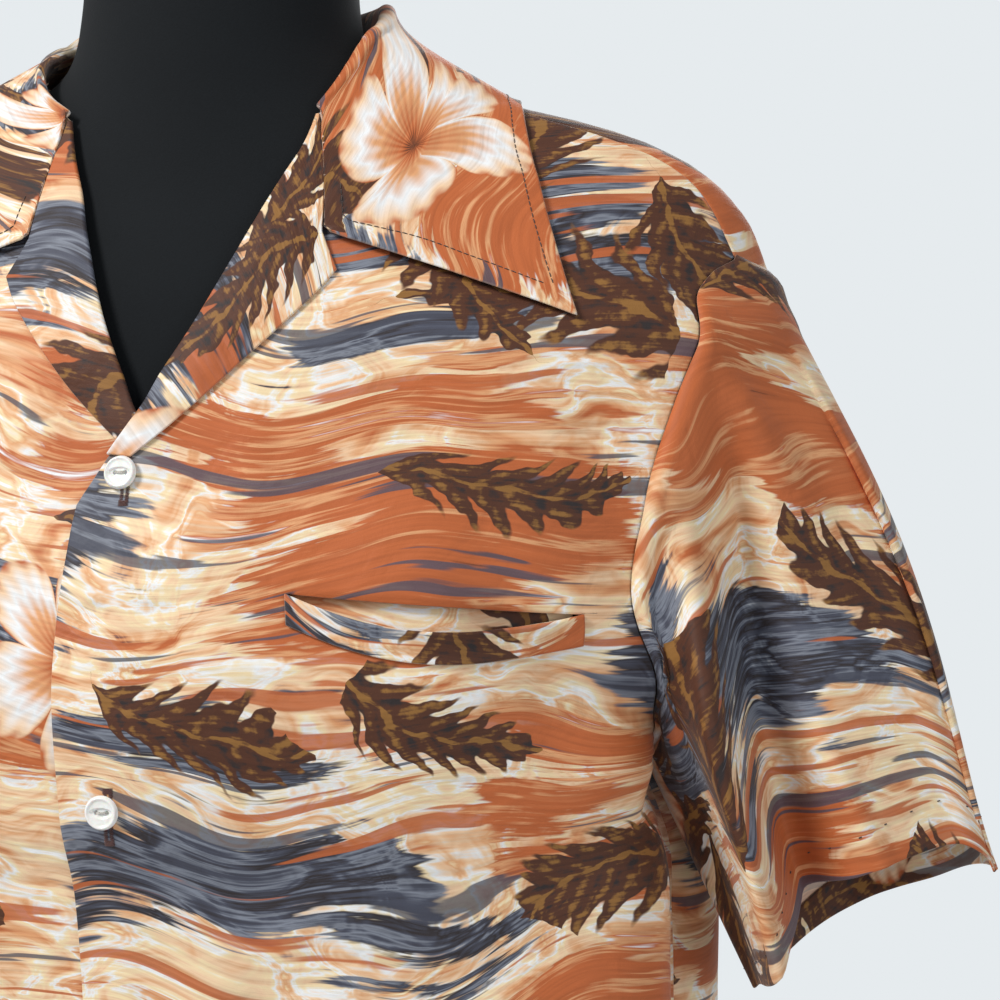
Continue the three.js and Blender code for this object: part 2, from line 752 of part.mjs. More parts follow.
function buttonPlace(height) {
  const reach = BUTTON_DIAMETER / 2;
  const side = onCloth(height, 3).sub(onCloth(height, -3)).normalize();
  const along = onCloth(height + reach, 0).sub(onCloth(height - reach, 0));
  const normal = side.clone().cross(along).normalize();
  const up = normal.clone().cross(side);
  const turn = new THREE.Matrix4().makeBasis(side, up, normal);
  return turn.setPosition(onCloth(height, 0).addScaledVector(normal, CLOTH + 2 * SEAM_GAP));
}

// The dress form and its stand
function formTorso() {
  const columns = 36;
  const heights = [
    FORM_BOTTOM, FORM_BOTTOM + 6, 270, 350, 430, 500, 560, 605, 650, 695, 730, 760, 778,
    790, 798, 805, 812, 819, 826, 834, 845, 870, FORM_TOP - 6, FORM_TOP,
  ];
  const rounding = 6;
  const rings = heights.map((height) => count(columns).map((j) => {
    const degrees = 360 * j / columns;
    const end = height === FORM_BOTTOM || height === FORM_TOP ? rounding : 0;
    return polar(height, degrees, formRadius(height, degrees) - end);
  }));
  return stackedRings(rings);
}

function standPole() {
  const length = FORM_BOTTOM - BASE_THICKNESS - 2 * SEAM_GAP;
  return new THREE.CylinderGeometry(POLE_DIAMETER / 2, POLE_DIAMETER / 2, length, 20)
    .rotateX(Math.PI / 2).translate(0, 0, BASE_THICKNESS + SEAM_GAP + length / 2);
}

function standBase() {
  const radius = BASE_DIAMETER / 2;
  const profile = [
    [0, 0],
    [radius - 2, 0],
    [radius, 3],
    [radius, BASE_THICKNESS - 5],
    [radius - 6, BASE_THICKNESS],
    [0, BASE_THICKNESS],
  ].map(([x, y]) => new THREE.Vector2(x, y));
  return new THREE.LatheGeometry(profile, 40).rotateX(Math.PI / 2);
}

// Materials
const finish = (color, roughness, metalness = 0) => (
  new THREE.MeshStandardMaterial({ color, roughness, metalness })
);
const printedCloth = finish(0xd08a5a, 0.75);
const whiteButton = finish(0xf2f1ec, 0.25);
const blackCover = finish(0x14181c, 0.9);
const blackSteel = finish(0x1c1c1e, 0.45, 0.6);

// Assembly
const shirtOnForm = new THREE.Group();

function place(name, geometry, material, matrix) {
  const mesh = new THREE.Mesh(geometry, material);
  mesh.name = name;
  if (matrix) matrix.decompose(mesh.position, mesh.quaternion, mesh.scale);
  shirtOnForm.add(mesh);
}

place("left_front", cut(frontPanel(1), pocketMouth()), printedCloth);
place("right_front", frontPanel(-1), printedCloth);
place("back", backPanel(), printedCloth);
place("left_sleeve", sleeve(1), printedCloth);
place("right_sleeve", sleeve(-1), printedCloth);
place("collar", collar(), printedCloth);
place("left_lapel", lapel(1), printedCloth);
place("right_lapel", lapel(-1), printedCloth);
place("pocket_welt", pocketWelt(), printedCloth);
place("pocket_bag", pocketBag(), printedCloth);
BUTTON_HEIGHTS.forEach((height, i) => {
  place(`button_${i + 1}`, button(), whiteButton, buttonPlace(height));
});
place("form_torso", formTorso(), blackCover);
place("stand_pole", standPole(), blackSteel);
place("stand_base", standBase(), blackSteel);

export default shirtOnForm;
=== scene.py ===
"""A short-sleeved shirt with an open collar, worn on a limbless dress form."""

import math

import bpy
import numpy as np
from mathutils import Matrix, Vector


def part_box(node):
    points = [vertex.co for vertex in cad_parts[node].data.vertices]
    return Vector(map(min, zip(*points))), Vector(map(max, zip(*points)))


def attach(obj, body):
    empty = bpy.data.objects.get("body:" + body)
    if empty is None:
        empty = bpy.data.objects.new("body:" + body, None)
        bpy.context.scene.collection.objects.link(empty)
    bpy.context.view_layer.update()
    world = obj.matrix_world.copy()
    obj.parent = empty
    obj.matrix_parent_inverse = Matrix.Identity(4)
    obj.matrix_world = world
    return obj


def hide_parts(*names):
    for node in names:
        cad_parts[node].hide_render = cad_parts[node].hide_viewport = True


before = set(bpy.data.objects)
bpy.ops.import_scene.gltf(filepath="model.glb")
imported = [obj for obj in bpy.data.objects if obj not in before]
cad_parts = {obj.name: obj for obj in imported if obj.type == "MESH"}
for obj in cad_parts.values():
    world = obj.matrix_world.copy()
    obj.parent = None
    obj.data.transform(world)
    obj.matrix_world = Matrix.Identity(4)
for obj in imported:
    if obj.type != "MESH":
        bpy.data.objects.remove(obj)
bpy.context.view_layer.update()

bl_info = {
    "name": "Open-collared shirt on a dress form",
    "version": (1, 0, 0),
    "blender": (4, 5, 0),
    "location": "3D View > Sidebar > Shirt",
    "description": "Dresses the packed shirt in cloth, print, seams and buttons",
    "category": "Object",
}

# Sizes of the part, in millimetres
MM = 0.001
CLOTH = 1.2
COLLAR_CLOTH = 1.6
SEAM_GAP = 0.35
LAID_ON = CLOTH + SEAM_GAP
REST_GAP = 1.2
HEM_HEIGHT = 90
ARMPIT_HEIGHT = 572
SHOULDER_POINT_HEIGHT = 758
NECK_SIDE_HEIGHT = 834
NECK_BACK_HEIGHT = 845
ROLL_TOP_HEIGHT = 811
PLACKET_DEGREES = -9
UNDERLAP_SINK = 2.2
BUTTON_HEIGHTS = [677, 562, 447, 332, 217]
FORM_BOTTOM = 210
FORM_TOP = 920
BASE_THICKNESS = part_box("stand_base")[1][2] / MM
BASE_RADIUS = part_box("stand_base")[1][0] / MM
POLE_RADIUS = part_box("stand_pole")[1][0] / MM
SIDES = {1: "left", -1: "right"}

# Where each piece is cut from the flat cloth
LAYOUT = {
    "left_front": (190, 0),
    "back": (700, 40),
    "right_front": (1330, 0),
    "left_sleeve": (1900, 130),
    "right_sleeve": (2700, 130),
    "collar": (3300, 300),
    "left_lapel": (4100, 100),
    "right_lapel": (4500, 100),
    "pocket_welt": (5000, 0),
    "pocket_bag": (5400, 0),
}


# Small helpers
def mix(a, b, share):
    return a + (b - a) * share


def smooth(value):
    value = np.clip(value, 0, 1)
    return value * value * (3 - 2 * value)


def bell(distance, width):
    return np.exp(-((distance / width) ** 2))


def swell(share):
    return np.sin(np.pi * np.clip(share, 0, 1))


def turn_between(a, b):
    return (a - b + 180) % 360 - 180


def unit(vectors):
    return vectors / np.maximum(np.linalg.norm(vectors, axis=-1, keepdims=True), 1e-9)


def through(first, middle, last, share):
    """A parabola through three points, which it meets at 0, 0.5 and 1."""
    return (
        first * (1 - share) * (1 - 2 * share)
        + middle * 4 * share * (1 - share)
        + last * share * (2 * share - 1)
    )


def edged(steps, rim=0.004):
    """Even shares from 0 to 1, with one more close to each end, so that edges stay crisp."""
    return np.concatenate([[0, rim], np.linspace(0, 1, steps + 1)[1:-1], [1 - rim, 1]])


def smooth_curve(xs, ys):
    """A smooth curve through table points that never overshoots them."""
    xs = np.array(xs, float)
    ys = np.array(ys, float)
    slope = np.diff(ys) / np.diff(xs)
    before = np.concatenate([slope[:1], slope])
    after = np.concatenate([slope, slope[-1:]])
    level = before * after <= 0
    tangent = np.where(level, 0, 2 * before * after / np.where(level, 1, before + after))

    def curve(x):
        x = np.clip(x, xs[0], xs[-1])
        i = np.clip(np.searchsorted(xs, x, side="right") - 1, 0, len(xs) - 2)
        span = xs[i + 1] - xs[i]
        t = (x - xs[i]) / span
        lead = t * (1 - t) ** 2 * tangent[i] * span
        tail = t * t * (1 - t) * tangent[i + 1] * span
        return mix(ys[i], ys[i + 1], t * t * (3 - 2 * t)) + lead - tail

    return curve


def table(names, rows):
    """A table read by the name of a column and a value of its first column."""
    columns = list(zip(*rows))
    curves = {name: smooth_curve(columns[0], ys) for name, ys in zip(names.split(), columns)}
    return lambda name, key: curves[name](key)


def records(names, rows):
    """A list of folds and the like, one dict a row."""
    return [dict(zip(names.split(), row)) for row in rows]


# The dress form: at each height a core oval and a wing oval, joined softly
FORM = table("height coreWide coreFront coreBack wingWide wingFront wingBack", [
    (210, 124, 92, 98, 158, 76, 80),
    (270, 130, 95, 104, 165, 78, 86),
    (350, 122, 90, 100, 156, 72, 82),
    (430, 112, 86, 92, 142, 70, 76),
    (500, 115, 91, 97, 146, 74, 80),
    (560, 121, 100, 103, 154, 80, 85),
    (600, 125, 105, 108, 160, 82, 89),
    (650, 126, 98, 112, 170, 78, 92),
    (700, 122, 87, 112, 180, 70, 90),
    (740, 114, 78, 106, 186, 62, 80),
    (765, 106, 70, 99, 187, 55, 71),
    (782, 98, 64.5, 92, 186, 48, 62),
    (792, 90, 62, 87, 182, 41, 53),
    (800, 82, 60, 82, 171, 36, 46),
    (808.5, 75, 58, 76, 151, 32, 40),
    (816.5, 69, 56.5, 71, 122, 30, 36),
    (825, 64, 55.5, 66, 92, 28, 32),
    (832, 61, 55, 62, 72, 27, 30),
    (840, 58, 54.5, 59, 58, 27, 30),
    (850, 56, 54, 56, 46, 27, 30),
    (870, 54, 53, 54, 40, 26, 28),
    (920, 53, 52, 53, 40, 25, 27),
])

# How far the cloth hangs off the form at the front, the sides and the back
EASE = table("height front side back", [
    (90, 10, 42, 18),
    (210, 10, 42, 18),
    (270, 10, 36, 12),
    (350, 11, 42, 15),
    (430, 11, 50, 22),
    (500, 6.5, 46, 19),
    (530, 7, 45, 16),
    (560, 12, 42, 12),
    (600, 12, 39, 8),
    (638, 10.5, 34, 5),
    (655, 7.5, 34, 4),
    (673, 4.2, 34, 3),
    (700, 6, 34, 2),
    (722, 5, 34, 1.6),
    (747, 4, 19.5, 1.2),
    (758, 3.6, 12.5, 1),
    (779, 3.5, 5, 0.9),
    (792, 3.5, 2.2, 0.8),
    (800, 3.4, 0.8, 0.8),
    (811, 3, 0.7, 1.1),
    (834, 3, 1.8, 2.5),
    (850, 2, 1.8, 3.5),
])

# Folds that hang in the body: angle at the top and at the hem, half width in
# degrees, depth (out of the cloth when positive), and the heights they span
FOLDS = records("top_angle hem_angle width depth top bottom fade", [
    (77, 73, 4.5, 4.5, 775, 640, 30),
    (72, 73, 7.5, 8, 625, -200, 60),
    (88, 88, 7, -16, 562, -200, 50),
    (50, 52, 9, 5, 690, 560, 50),
    (57, 60, 8, -5, 530, -200, 70),
    (41, 44, 8, 5, 520, -200, 80),
    (27, 25, 8, -4, 540, -200, 80),
    (13, 10, 7, 3, 500, -200, 80),
    (97, 97, 9, 10, 800, 690, 30),
    (104, 105, 8, 12, 640, -200, 60),
    (121, 120, 9, -8, 690, -200, 70),
    (139, 137, 9, 7, 700, -200, 70),
    (160, 157, 9, -6, 690, -200, 80),
    (181, 179, 10, 5, 700, -200, 80),
    (-76, -75, 5, 4, 775, 640, 30),
    (-71, -74, 8, 7, 628, -200, 60),
    (-88, -89, 7, -15, 562, -200, 50),
    (-55, -58, 9, -5, 560, -200, 80),
    (-40, -42, 8, 6, 545, -200, 70),
    (-24, -26, 8, -4, 570, -200, 80),
    (-97, -97, 9, 9, 800, 690, 30),
    (-105, -104, 8, 11, 640, -200, 60),
    (-123, -120, 9, -7, 690, -200, 70),
    (-141, -138, 9, 8, 690, -200, 70),
    (-161, -159, 8, -6, 700, -200, 80),
])

# Where an underarm seam draws the cloth in
PINCHES = records("angle height half_angle half_height depth", [
    (90, ARMPIT_HEIGHT, 14, 36, 32),
    (-90, ARMPIT_HEIGHT, 14, 36, 31),
])

# Soft creases too fine for the solids, each from one place on the cloth to
# another, as angle and height, with a half width and a depth in millimetres
CREASES = records("angle height to_angle to_height width depth", [
    (91, 802, 96, 742, 17, 5),
    (-91, 802, -96, 742, 17, 5),
    (93, 786, 93, 728, 15, 4),
    (-93, 786, -93, 728, 15, 4),
    (77, 742, 74, 655, 4, 1.6),
    (77, 796, 69, 680, 5, -5),
    (-77, 796, -70, 690, 5, -4.4),
    (66, 700, 63, 610, 8, 2.4),
    (80, 600, 58, 655, 9, 3.9),
    (81, 590, 60, 615, 8, -3.1),
    (80, 580, 56, 575, 9, 3.5),
    (79, 566, 60, 530, 8, -2.8),
    (66, 500, 38, 470, 13, 3.9),
    (60, 462, 26, 442, 14, -3.5),
    (52, 430, 14, 415, 15, 3.5),
    (34, 520, 12, 500, 13, 2.4),
    (28, 480, 2, 462, 12, -2.4),
    (40, 395, 4, 372, 16, 3.1),
    (66, 360, 34, 330, 16, -3.1),
    (12, 645, 30, 690, 12, 1.8),
    (-6, 622, 14, 600, 9, -1.6),
    (-4, 560, 12, 548, 8, 1.6),
    (46, 720, 58, 700, 12, -2.1),
    (-78, 600, -56, 650, 9, 3.9),
    (-80, 588, -58, 610, 8, -3.1),
    (-79, 572, -54, 560, 9, 3.5),
    (-64, 500, -36, 466, 13, 3.9),
    (-58, 455, -24, 440, 14, -3.5),
    (-50, 420, -16, 402, 15, 3.5),
    (-30, 520, -12, 505, 13, 2.1),
    (-40, 360, -14, 340, 16, 3.1),
    (100, 606, 124, 660, 9, 3.5),
    (101, 590, 128, 612, 9, -2.8),
    (102, 574, 126, 560, 9, 3.1),
    (-100, 606, -122, 656, 9, 3.5),
    (-101, 588, -128, 616, 9, -2.8),
    (-102, 574, -128, 556, 9, 3.1),
    (128, 470, 168, 450, 16, 3.5),
    (-130, 440, -170, 425, 16, 3.5),
    (150, 380, 196, 366, 16, -3.1),
    (140, 760, 176, 742, 12, 1.8),
    (-142, 752, -178, 738, 12, 1.8),
])
CREASE_RADIUS = 150

# Edges of the body's pieces, as an angle at each height
FRONT_EDGE = table("height angle", [
    (90, PLACKET_DEGREES),
    (640, PLACKET_DEGREES + 0.4),
    (665, PLACKET_DEGREES),
    (673, -6.8),
    (685, -2.5),
    (694, 1.2),
    (701, 4.2),
    (712, 7.7),
    (731, 15),
    (754, 23.7),
    (780, 34.9),
    (799, 45.3),
    (ROLL_TOP_HEIGHT, 51.1),
])
SIDE_EDGE = table("height front back", [
    (ARMPIT_HEIGHT, 90, 90),
    (576, 86, 93.5),
    (583, 81.5, 97),
    (592, 78, 100),
    (605, 75, 103),
    (620, 73.2, 105),
    (638, 72.4, 106.5),
    (665, 73, 107),
    (700, 75.4, 105.5),
    (722, 77.6, 102),
    (738, 79.8, 98.5),
    (750, 83.6, 94),
    (SHOULDER_POINT_HEIGHT, 87.1, 87.1),
    (779, 87, 87),
    (797, 86, 86),
    (809, 84.5, 84.5),
    (817, 83, 83),
    (826, 81, 81),
    (NECK_SIDE_HEIGHT, 79, 79),
])

# How much nearer the middle the opening sits on the wearer's right
RIGHT_SHIFT = table("height shift", [
    (640, 0),
    (672, 2.5),
    (690, 4.2),
    (702, 4.6),
    (727, 6),
    (743, 7.4),
    (775, 10),
    (796, 12),
    (812, 13),
    (835, 11),
    (850, 4),
    (866, 0),
])


def right_angle(height, degrees):
    """An angle at the front, as it sits on the wearer's right."""
    return degrees - RIGHT_SHIFT("shift", height) * smooth((84 - degrees) / 42)


def oval_radius(angle, wide, front, back):
    deep = np.where(np.cos(angle) > 0, front, back)
    return 1 / np.hypot(np.sin(angle) / wide, np.cos(angle) / deep)


def form_radius(height, degrees):
    angle = np.radians(degrees)
    core, wing = (
        oval_radius(angle, *(FORM(part + side, height) for side in ("Wide", "Front", "Back")))
        for part in ("core", "wing")
    )
    return (core ** 8 + wing ** 8) ** (1 / 8)


def fold_depth(height, degrees):
    depth = np.zeros(np.broadcast(height, degrees).shape)
    for fold in FOLDS:
        grown = smooth((fold["top"] - height) / fold["fade"])
        left = smooth((height - fold["bottom"]) / fold["fade"])
        run = np.clip((fold["top"] - height) / (fold["top"] - HEM_HEIGHT), 0, 1)
        angle = mix(fold["top_angle"], fold["hem_angle"], run)
        depth += fold["depth"] * grown * left * bell(turn_between(degrees, angle), fold["width"])
    for pinch in PINCHES:
        across = bell(turn_between(degrees, pinch["angle"]), pinch["half_angle"])
        depth -= pinch["depth"] * across * bell(height - pinch["height"], pinch["half_height"])
    return depth


def crease_depth(height, degrees):
    """Uneven soft troughs and ridges, and the slow ripple of a light cloth."""
    scale = math.radians(1) * CREASE_RADIUS
    depth = np.zeros(np.broadcast(height, degrees).shape)
    for crease in CREASES:
        run = turn_between(crease["to_angle"], crease["angle"]) * scale
        rise = crease["to_height"] - crease["height"]
        across = turn_between(degrees, crease["angle"]) * scale
        up = height - crease["height"]
        share = (across * run + up * rise) / (run * run + rise * rise)
        bow = 0.12 * math.hypot(run, rise) * swell(share)
        along = np.clip(share, 0, 1)
        off = np.hypot(across - along * run, up - along * rise + bow)
        width = crease["width"] * (1 + 0.5 * along)
        depth += crease["depth"] * bell(off, width) * swell(0.12 + 0.88 * share) ** 0.8
    x = degrees * scale
    ripple = np.sin(x / 13 + height / 21) * np.sin(height / 17 - x / 31)
    ripple += 0.6 * np.sin(x / 7.7 - height / 12 + 2) * np.sin(height / 29 + x / 9)
    return depth + 0.28 * ripple * smooth((830 - height) / 60)


def cloth_radius(height, degrees):
    """Radius of the cloth's inner face."""
    angle = np.radians(degrees)
    middle = np.where(np.cos(angle) > 0, EASE("front", height), EASE("back", height))
    along = np.cos(angle) ** 2 * middle
    across = np.abs(np.sin(angle)) ** 3 * EASE("side", height)
    return form_radius(height - REST_GAP, degrees) + along + across + fold_depth(height, degrees)


def polar(height, degrees, radius):
    height, degrees, radius = np.broadcast_arrays(height, degrees, radius)
    angle = np.radians(degrees)
    return np.stack([radius * np.sin(angle), -radius * np.cos(angle), height], axis=-1)


def on_cloth(height, degrees):
    radius = cloth_radius(height, degrees) + crease_depth(height, degrees)
    return polar(height, degrees, radius)


def cloth_normal(height, degrees):
    turn = 0.2
    step = 0.3
    across = on_cloth(height, degrees + turn) - on_cloth(height, degrees - turn)
    up = on_cloth(height + step, degrees) - on_cloth(height - step, degrees)
    return unit(np.cross(across, up))


def off_cloth(height, degrees, distance):
    """A point a given distance off the cloth's inner face."""
    distance = np.asarray(distance)[..., None]
    return on_cloth(height, degrees) + cloth_normal(height, degrees) * distance


def keep_off(points, distance):
    """Moves points out until they stand at least this far off the cloth's inner face."""
    for _ in range(3):
        degrees = np.degrees(np.arctan2(points[..., 0], -points[..., 1]))
        height = points[..., 2]
        normal = cloth_normal(height, degrees)
        off = np.sum((points - on_cloth(height, degrees)) * normal, axis=-1)
        points = points + normal * np.maximum(distance - off, 0)[..., None]
    return points


# Meshes
def grid_normals(grid):
    return unit(np.cross(np.gradient(grid, axis=1), np.gradient(grid, axis=0)))


def run_lengths(grid, axis):
    """Length along the grid's rows or columns, from their start."""
    steps = np.linalg.norm(np.diff(grid, axis=axis), axis=-1)
    start = np.zeros_like(np.take(steps, [0], axis=axis))
    return np.concatenate([start, np.cumsum(steps, axis=axis)], axis=axis)


def mesh_object(name, vertices, quads, material, cut=None):
    """A smooth mesh object from millimetres, with the cloth's own flat coordinates."""
    used, packed = np.unique(quads, return_inverse=True)
    mesh = bpy.data.meshes.new(name)
    mesh.from_pydata((vertices[used] * MM).tolist(), [], packed.reshape(quads.shape).tolist())
    mesh.validate()
    mesh.polygons.foreach_set("use_smooth", np.ones(len(mesh.polygons), bool))
    if cut is not None:
        flat = mesh.attributes.new("cut", "FLOAT_VECTOR", "POINT")
        flat.data.foreach_set("vector", np.ravel(cut[used]).astype(np.float32))
    mesh.materials.append(material)
    piece = bpy.data.objects.new(name, mesh)
    bpy.context.scene.collection.objects.link(piece)
    return piece


def ring_mesh(name, rings, material):
    """A skin through closed rings of points, each joined to the next one."""
    many, segments = rings.shape[:2]
    ids = np.arange(many * segments).reshape(many, segments)
    after = np.roll(ids, -1, axis=1)
    quads = np.stack([ids[:-1], after[:-1], after[1:], ids[1:]], axis=-1)
    return mesh_object(name, rings.reshape(-1, 3), quads.reshape(-1, 4), material)


def wall(name, middle, thickness, material, cut, ids=None, gone=None):
    """A thin closed shell about a grid that runs down its middle, with softened rims."""
    rows, columns = middle.shape[:2]
    total = rows * columns
    if ids is None:
        ids = np.arange(total).reshape(rows, columns)
    corners = [ids[:-1, :-1], ids[:-1, 1:], ids[1:, 1:], ids[1:, :-1]]
    quads = np.stack(corners, axis=-1)
    quads = quads.reshape(-1, 4) if gone is None else quads[~gone]
    edges = np.concatenate([quads[:, [k, (k + 1) % 4]] for k in range(4)])
    forward = edges[:, 0] * total + edges[:, 1]
    backward = edges[:, 1] * total + edges[:, 0]
    start, end = edges[~np.isin(forward, backward)].T
    points = middle.reshape(-1, 3)
    normals = grid_normals(middle).reshape(-1, 3)
    away = unit(np.cross(points[end] - points[start], normals[start]))
    outward = np.zeros_like(points)
    np.add.at(outward, start, away)
    np.add.at(outward, end, away)
    half = thickness / 2
    layers = [normals * half, -normals * half, unit(outward) * half * 0.9]
    vertices = np.concatenate([points + layer for layer in layers])
    inner = total
    rim = 2 * total
    faces = np.concatenate([
        quads,
        quads[:, ::-1] + inner,
        np.stack([end, start, start + rim, end + rim], axis=1),
        np.stack([end + rim, start + rim, start + inner, end + inner], axis=1),
    ])
    flat = cut.reshape(-1, 2)
    sides = [np.full((total, 1), side) for side in (0, 1, 0.5)]
    cut = np.concatenate([np.hstack([flat, side]) for side in sides])
    return mesh_object(name, vertices, faces, material, cut)


def cut_map(middle, anchor=0, slant=0, anchor_row=0):
    """Where each point of a piece lies once it is flat, in millimetres."""
    across = run_lengths(middle, 1)
    across -= across[:, [anchor]]
    along = run_lengths(middle, 0)
    along -= along[[anchor_row]]
    turn = math.radians(slant)
    turned = np.array([[math.cos(turn), math.sin(turn)], [-math.sin(turn), math.cos(turn)]])
    return np.stack([across, along], axis=-1) @ turned


def body_map(base, height, edge_angle, anchor):
    """The same for a panel of the body, with its grain upright."""
    across = run_lengths(base, 1)
    across -= across[:, [anchor]]
    angle = np.radians(edge_angle - PLACKET_DEGREES)
    across += (angle * np.hypot(*base[:, anchor, :2].T))[:, None]
    middle = base.shape[1] // 2
    run = run_lengths(base[:, [middle]], 0)[:, 0]
    along = np.interp(height, height[:, middle], run)
    return np.stack([across, along], axis=-1)


def turned_hem(base, normals, outer, inner, rows_in):
    """Adds a turned-up hem: the last row rolls over and runs back inside."""
    down = unit(base[-1] - base[-2])
    bend = (outer - inner) / 2
    fold = []
    for turn in np.radians([30, 60, 90, 120, 150]):
        off = (outer + inner) / 2 + bend * math.cos(turn)
        fold.append(base[-1] + normals[-1] * off + down * bend * math.sin(turn))
    main = base + normals * outer
    back = (base + normals * inner)[::-1][:rows_in]
    return np.concatenate([main, np.array(fold), back])


def turned_map(flat, rows_in):
    """The flat places that go with a turned-up hem."""
    hem = flat[-1:]
    back = 2 * hem - flat[::-1][:rows_in]
    back[..., 0] = flat[::-1][:rows_in][..., 0]
    return np.concatenate([flat, np.repeat(hem, 5, axis=0), back])


def ride(piece):
    """Fixes a piece to the part's one body."""
    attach(piece, "root")


def declare(piece, node):
    """Puts a piece in the place of its solid."""
    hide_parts(node)
    ride(piece)


def cloth_piece(node, middle, thickness, cut, ids=None, gone=None):
    """A cut piece of cloth in the place of its solid, with the size it has when it lies flat."""
    cloth = finish("painterly_print", printed_cloth)
    piece = wall(f"{node}_cloth", middle, thickness, cloth, cut + LAYOUT[node], ids, gone)
    declare(piece, node)


def stitches(name, starts, ends, ups, radius, lift, tone):
    """Short threads, each arched from one point to another, as one piece."""
    stations = np.linspace(0, 1, 6)
    sides = np.radians(np.arange(6) * 60)
    along = unit(ends - starts)
    ups = unit(ups - along * np.sum(ups * along, axis=-1, keepdims=True))
    beside = np.cross(along, ups)
    share = stations[None, :, None]
    centre = mix(starts[:, None], ends[:, None], share) + ups[:, None] * lift * swell(share) ** 0.5
    girth = radius * (0.5 + 0.5 * swell(stations) ** 0.5)[None, :, None, None]
    spoke = (
        np.cos(sides)[None, None, :, None] * ups[:, None, None]
        + np.sin(sides)[None, None, :, None] * beside[:, None, None]
    )
    points = centre[:, :, None] + spoke * girth
    many, long, round_ = points.shape[:3]
    ids = np.arange(many * long * round_).reshape(many, long, round_)
    after = np.roll(ids, -1, axis=2)
    tube = np.stack([ids[:, :-1], ids[:, 1:], after[:, 1:], after[:, :-1]], axis=-1)
    caps = [ids[:, 0][:, [0, 1, 2, 3]], ids[:, 0][:, [0, 3, 4, 5]]]
    caps += [ids[:, -1][:, [3, 2, 1, 0]], ids[:, -1][:, [5, 4, 3, 0]]]
    faces = np.concatenate([tube.reshape(-1, 4), *caps])
    ride(mesh_object(name, points.reshape(-1, 3), faces, finish(tone, thread)))


def running_stitches(path, normals, length, gap):
    """Start, end and upward direction of each stitch along a path."""
    run = run_lengths(path[None], 1)[0]
    starts = np.arange(gap, run[-1] - length, length + gap)

    def at(values, place):
        return np.stack([np.interp(place, run, values[:, k]) for k in range(3)], axis=-1)

    return at(path, starts), at(path, starts + length), unit(at(normals, starts))


def full_turn(segments):
    return np.linspace(0, 2 * np.pi, segments, endpoint=False)


def turned_rings(profile, segments=96):
    """A ring of points for each (radius, height) of a turned profile."""
    turn = full_turn(segments)
    radius, height = np.array(profile).T[..., None]
    return np.stack([radius * np.cos(turn), radius * np.sin(turn), height + 0 * turn], axis=-1)


# Shader maths
class Value:
    """A socket of a material that can stand in sums."""

    def __init__(self, paint, socket):
        self.paint = paint
        self.socket = socket

    def maths(self, operation, *others):
        sockets = dict(enumerate([self, *others]))
        return self.paint.node("ShaderNodeMath", {"operation": operation}, sockets)

    def __add__(self, other):
        return self.maths("ADD", other)

    __radd__ = __add__

    def __sub__(self, other):
        return self.maths("SUBTRACT", other)

    def __rsub__(self, other):
        return self.paint.node("ShaderNodeMath", {"operation": "SUBTRACT"}, {0: other, 1: self})

    def __mul__(self, other):
        return self.maths("MULTIPLY", other)

    __rmul__ = __mul__

    def __truediv__(self, other):
        return self.maths("DIVIDE", other)

    def __pow__(self, other):
        return self.maths("POWER", other)

    def __abs__(self):
        return self.maths("ABSOLUTE")


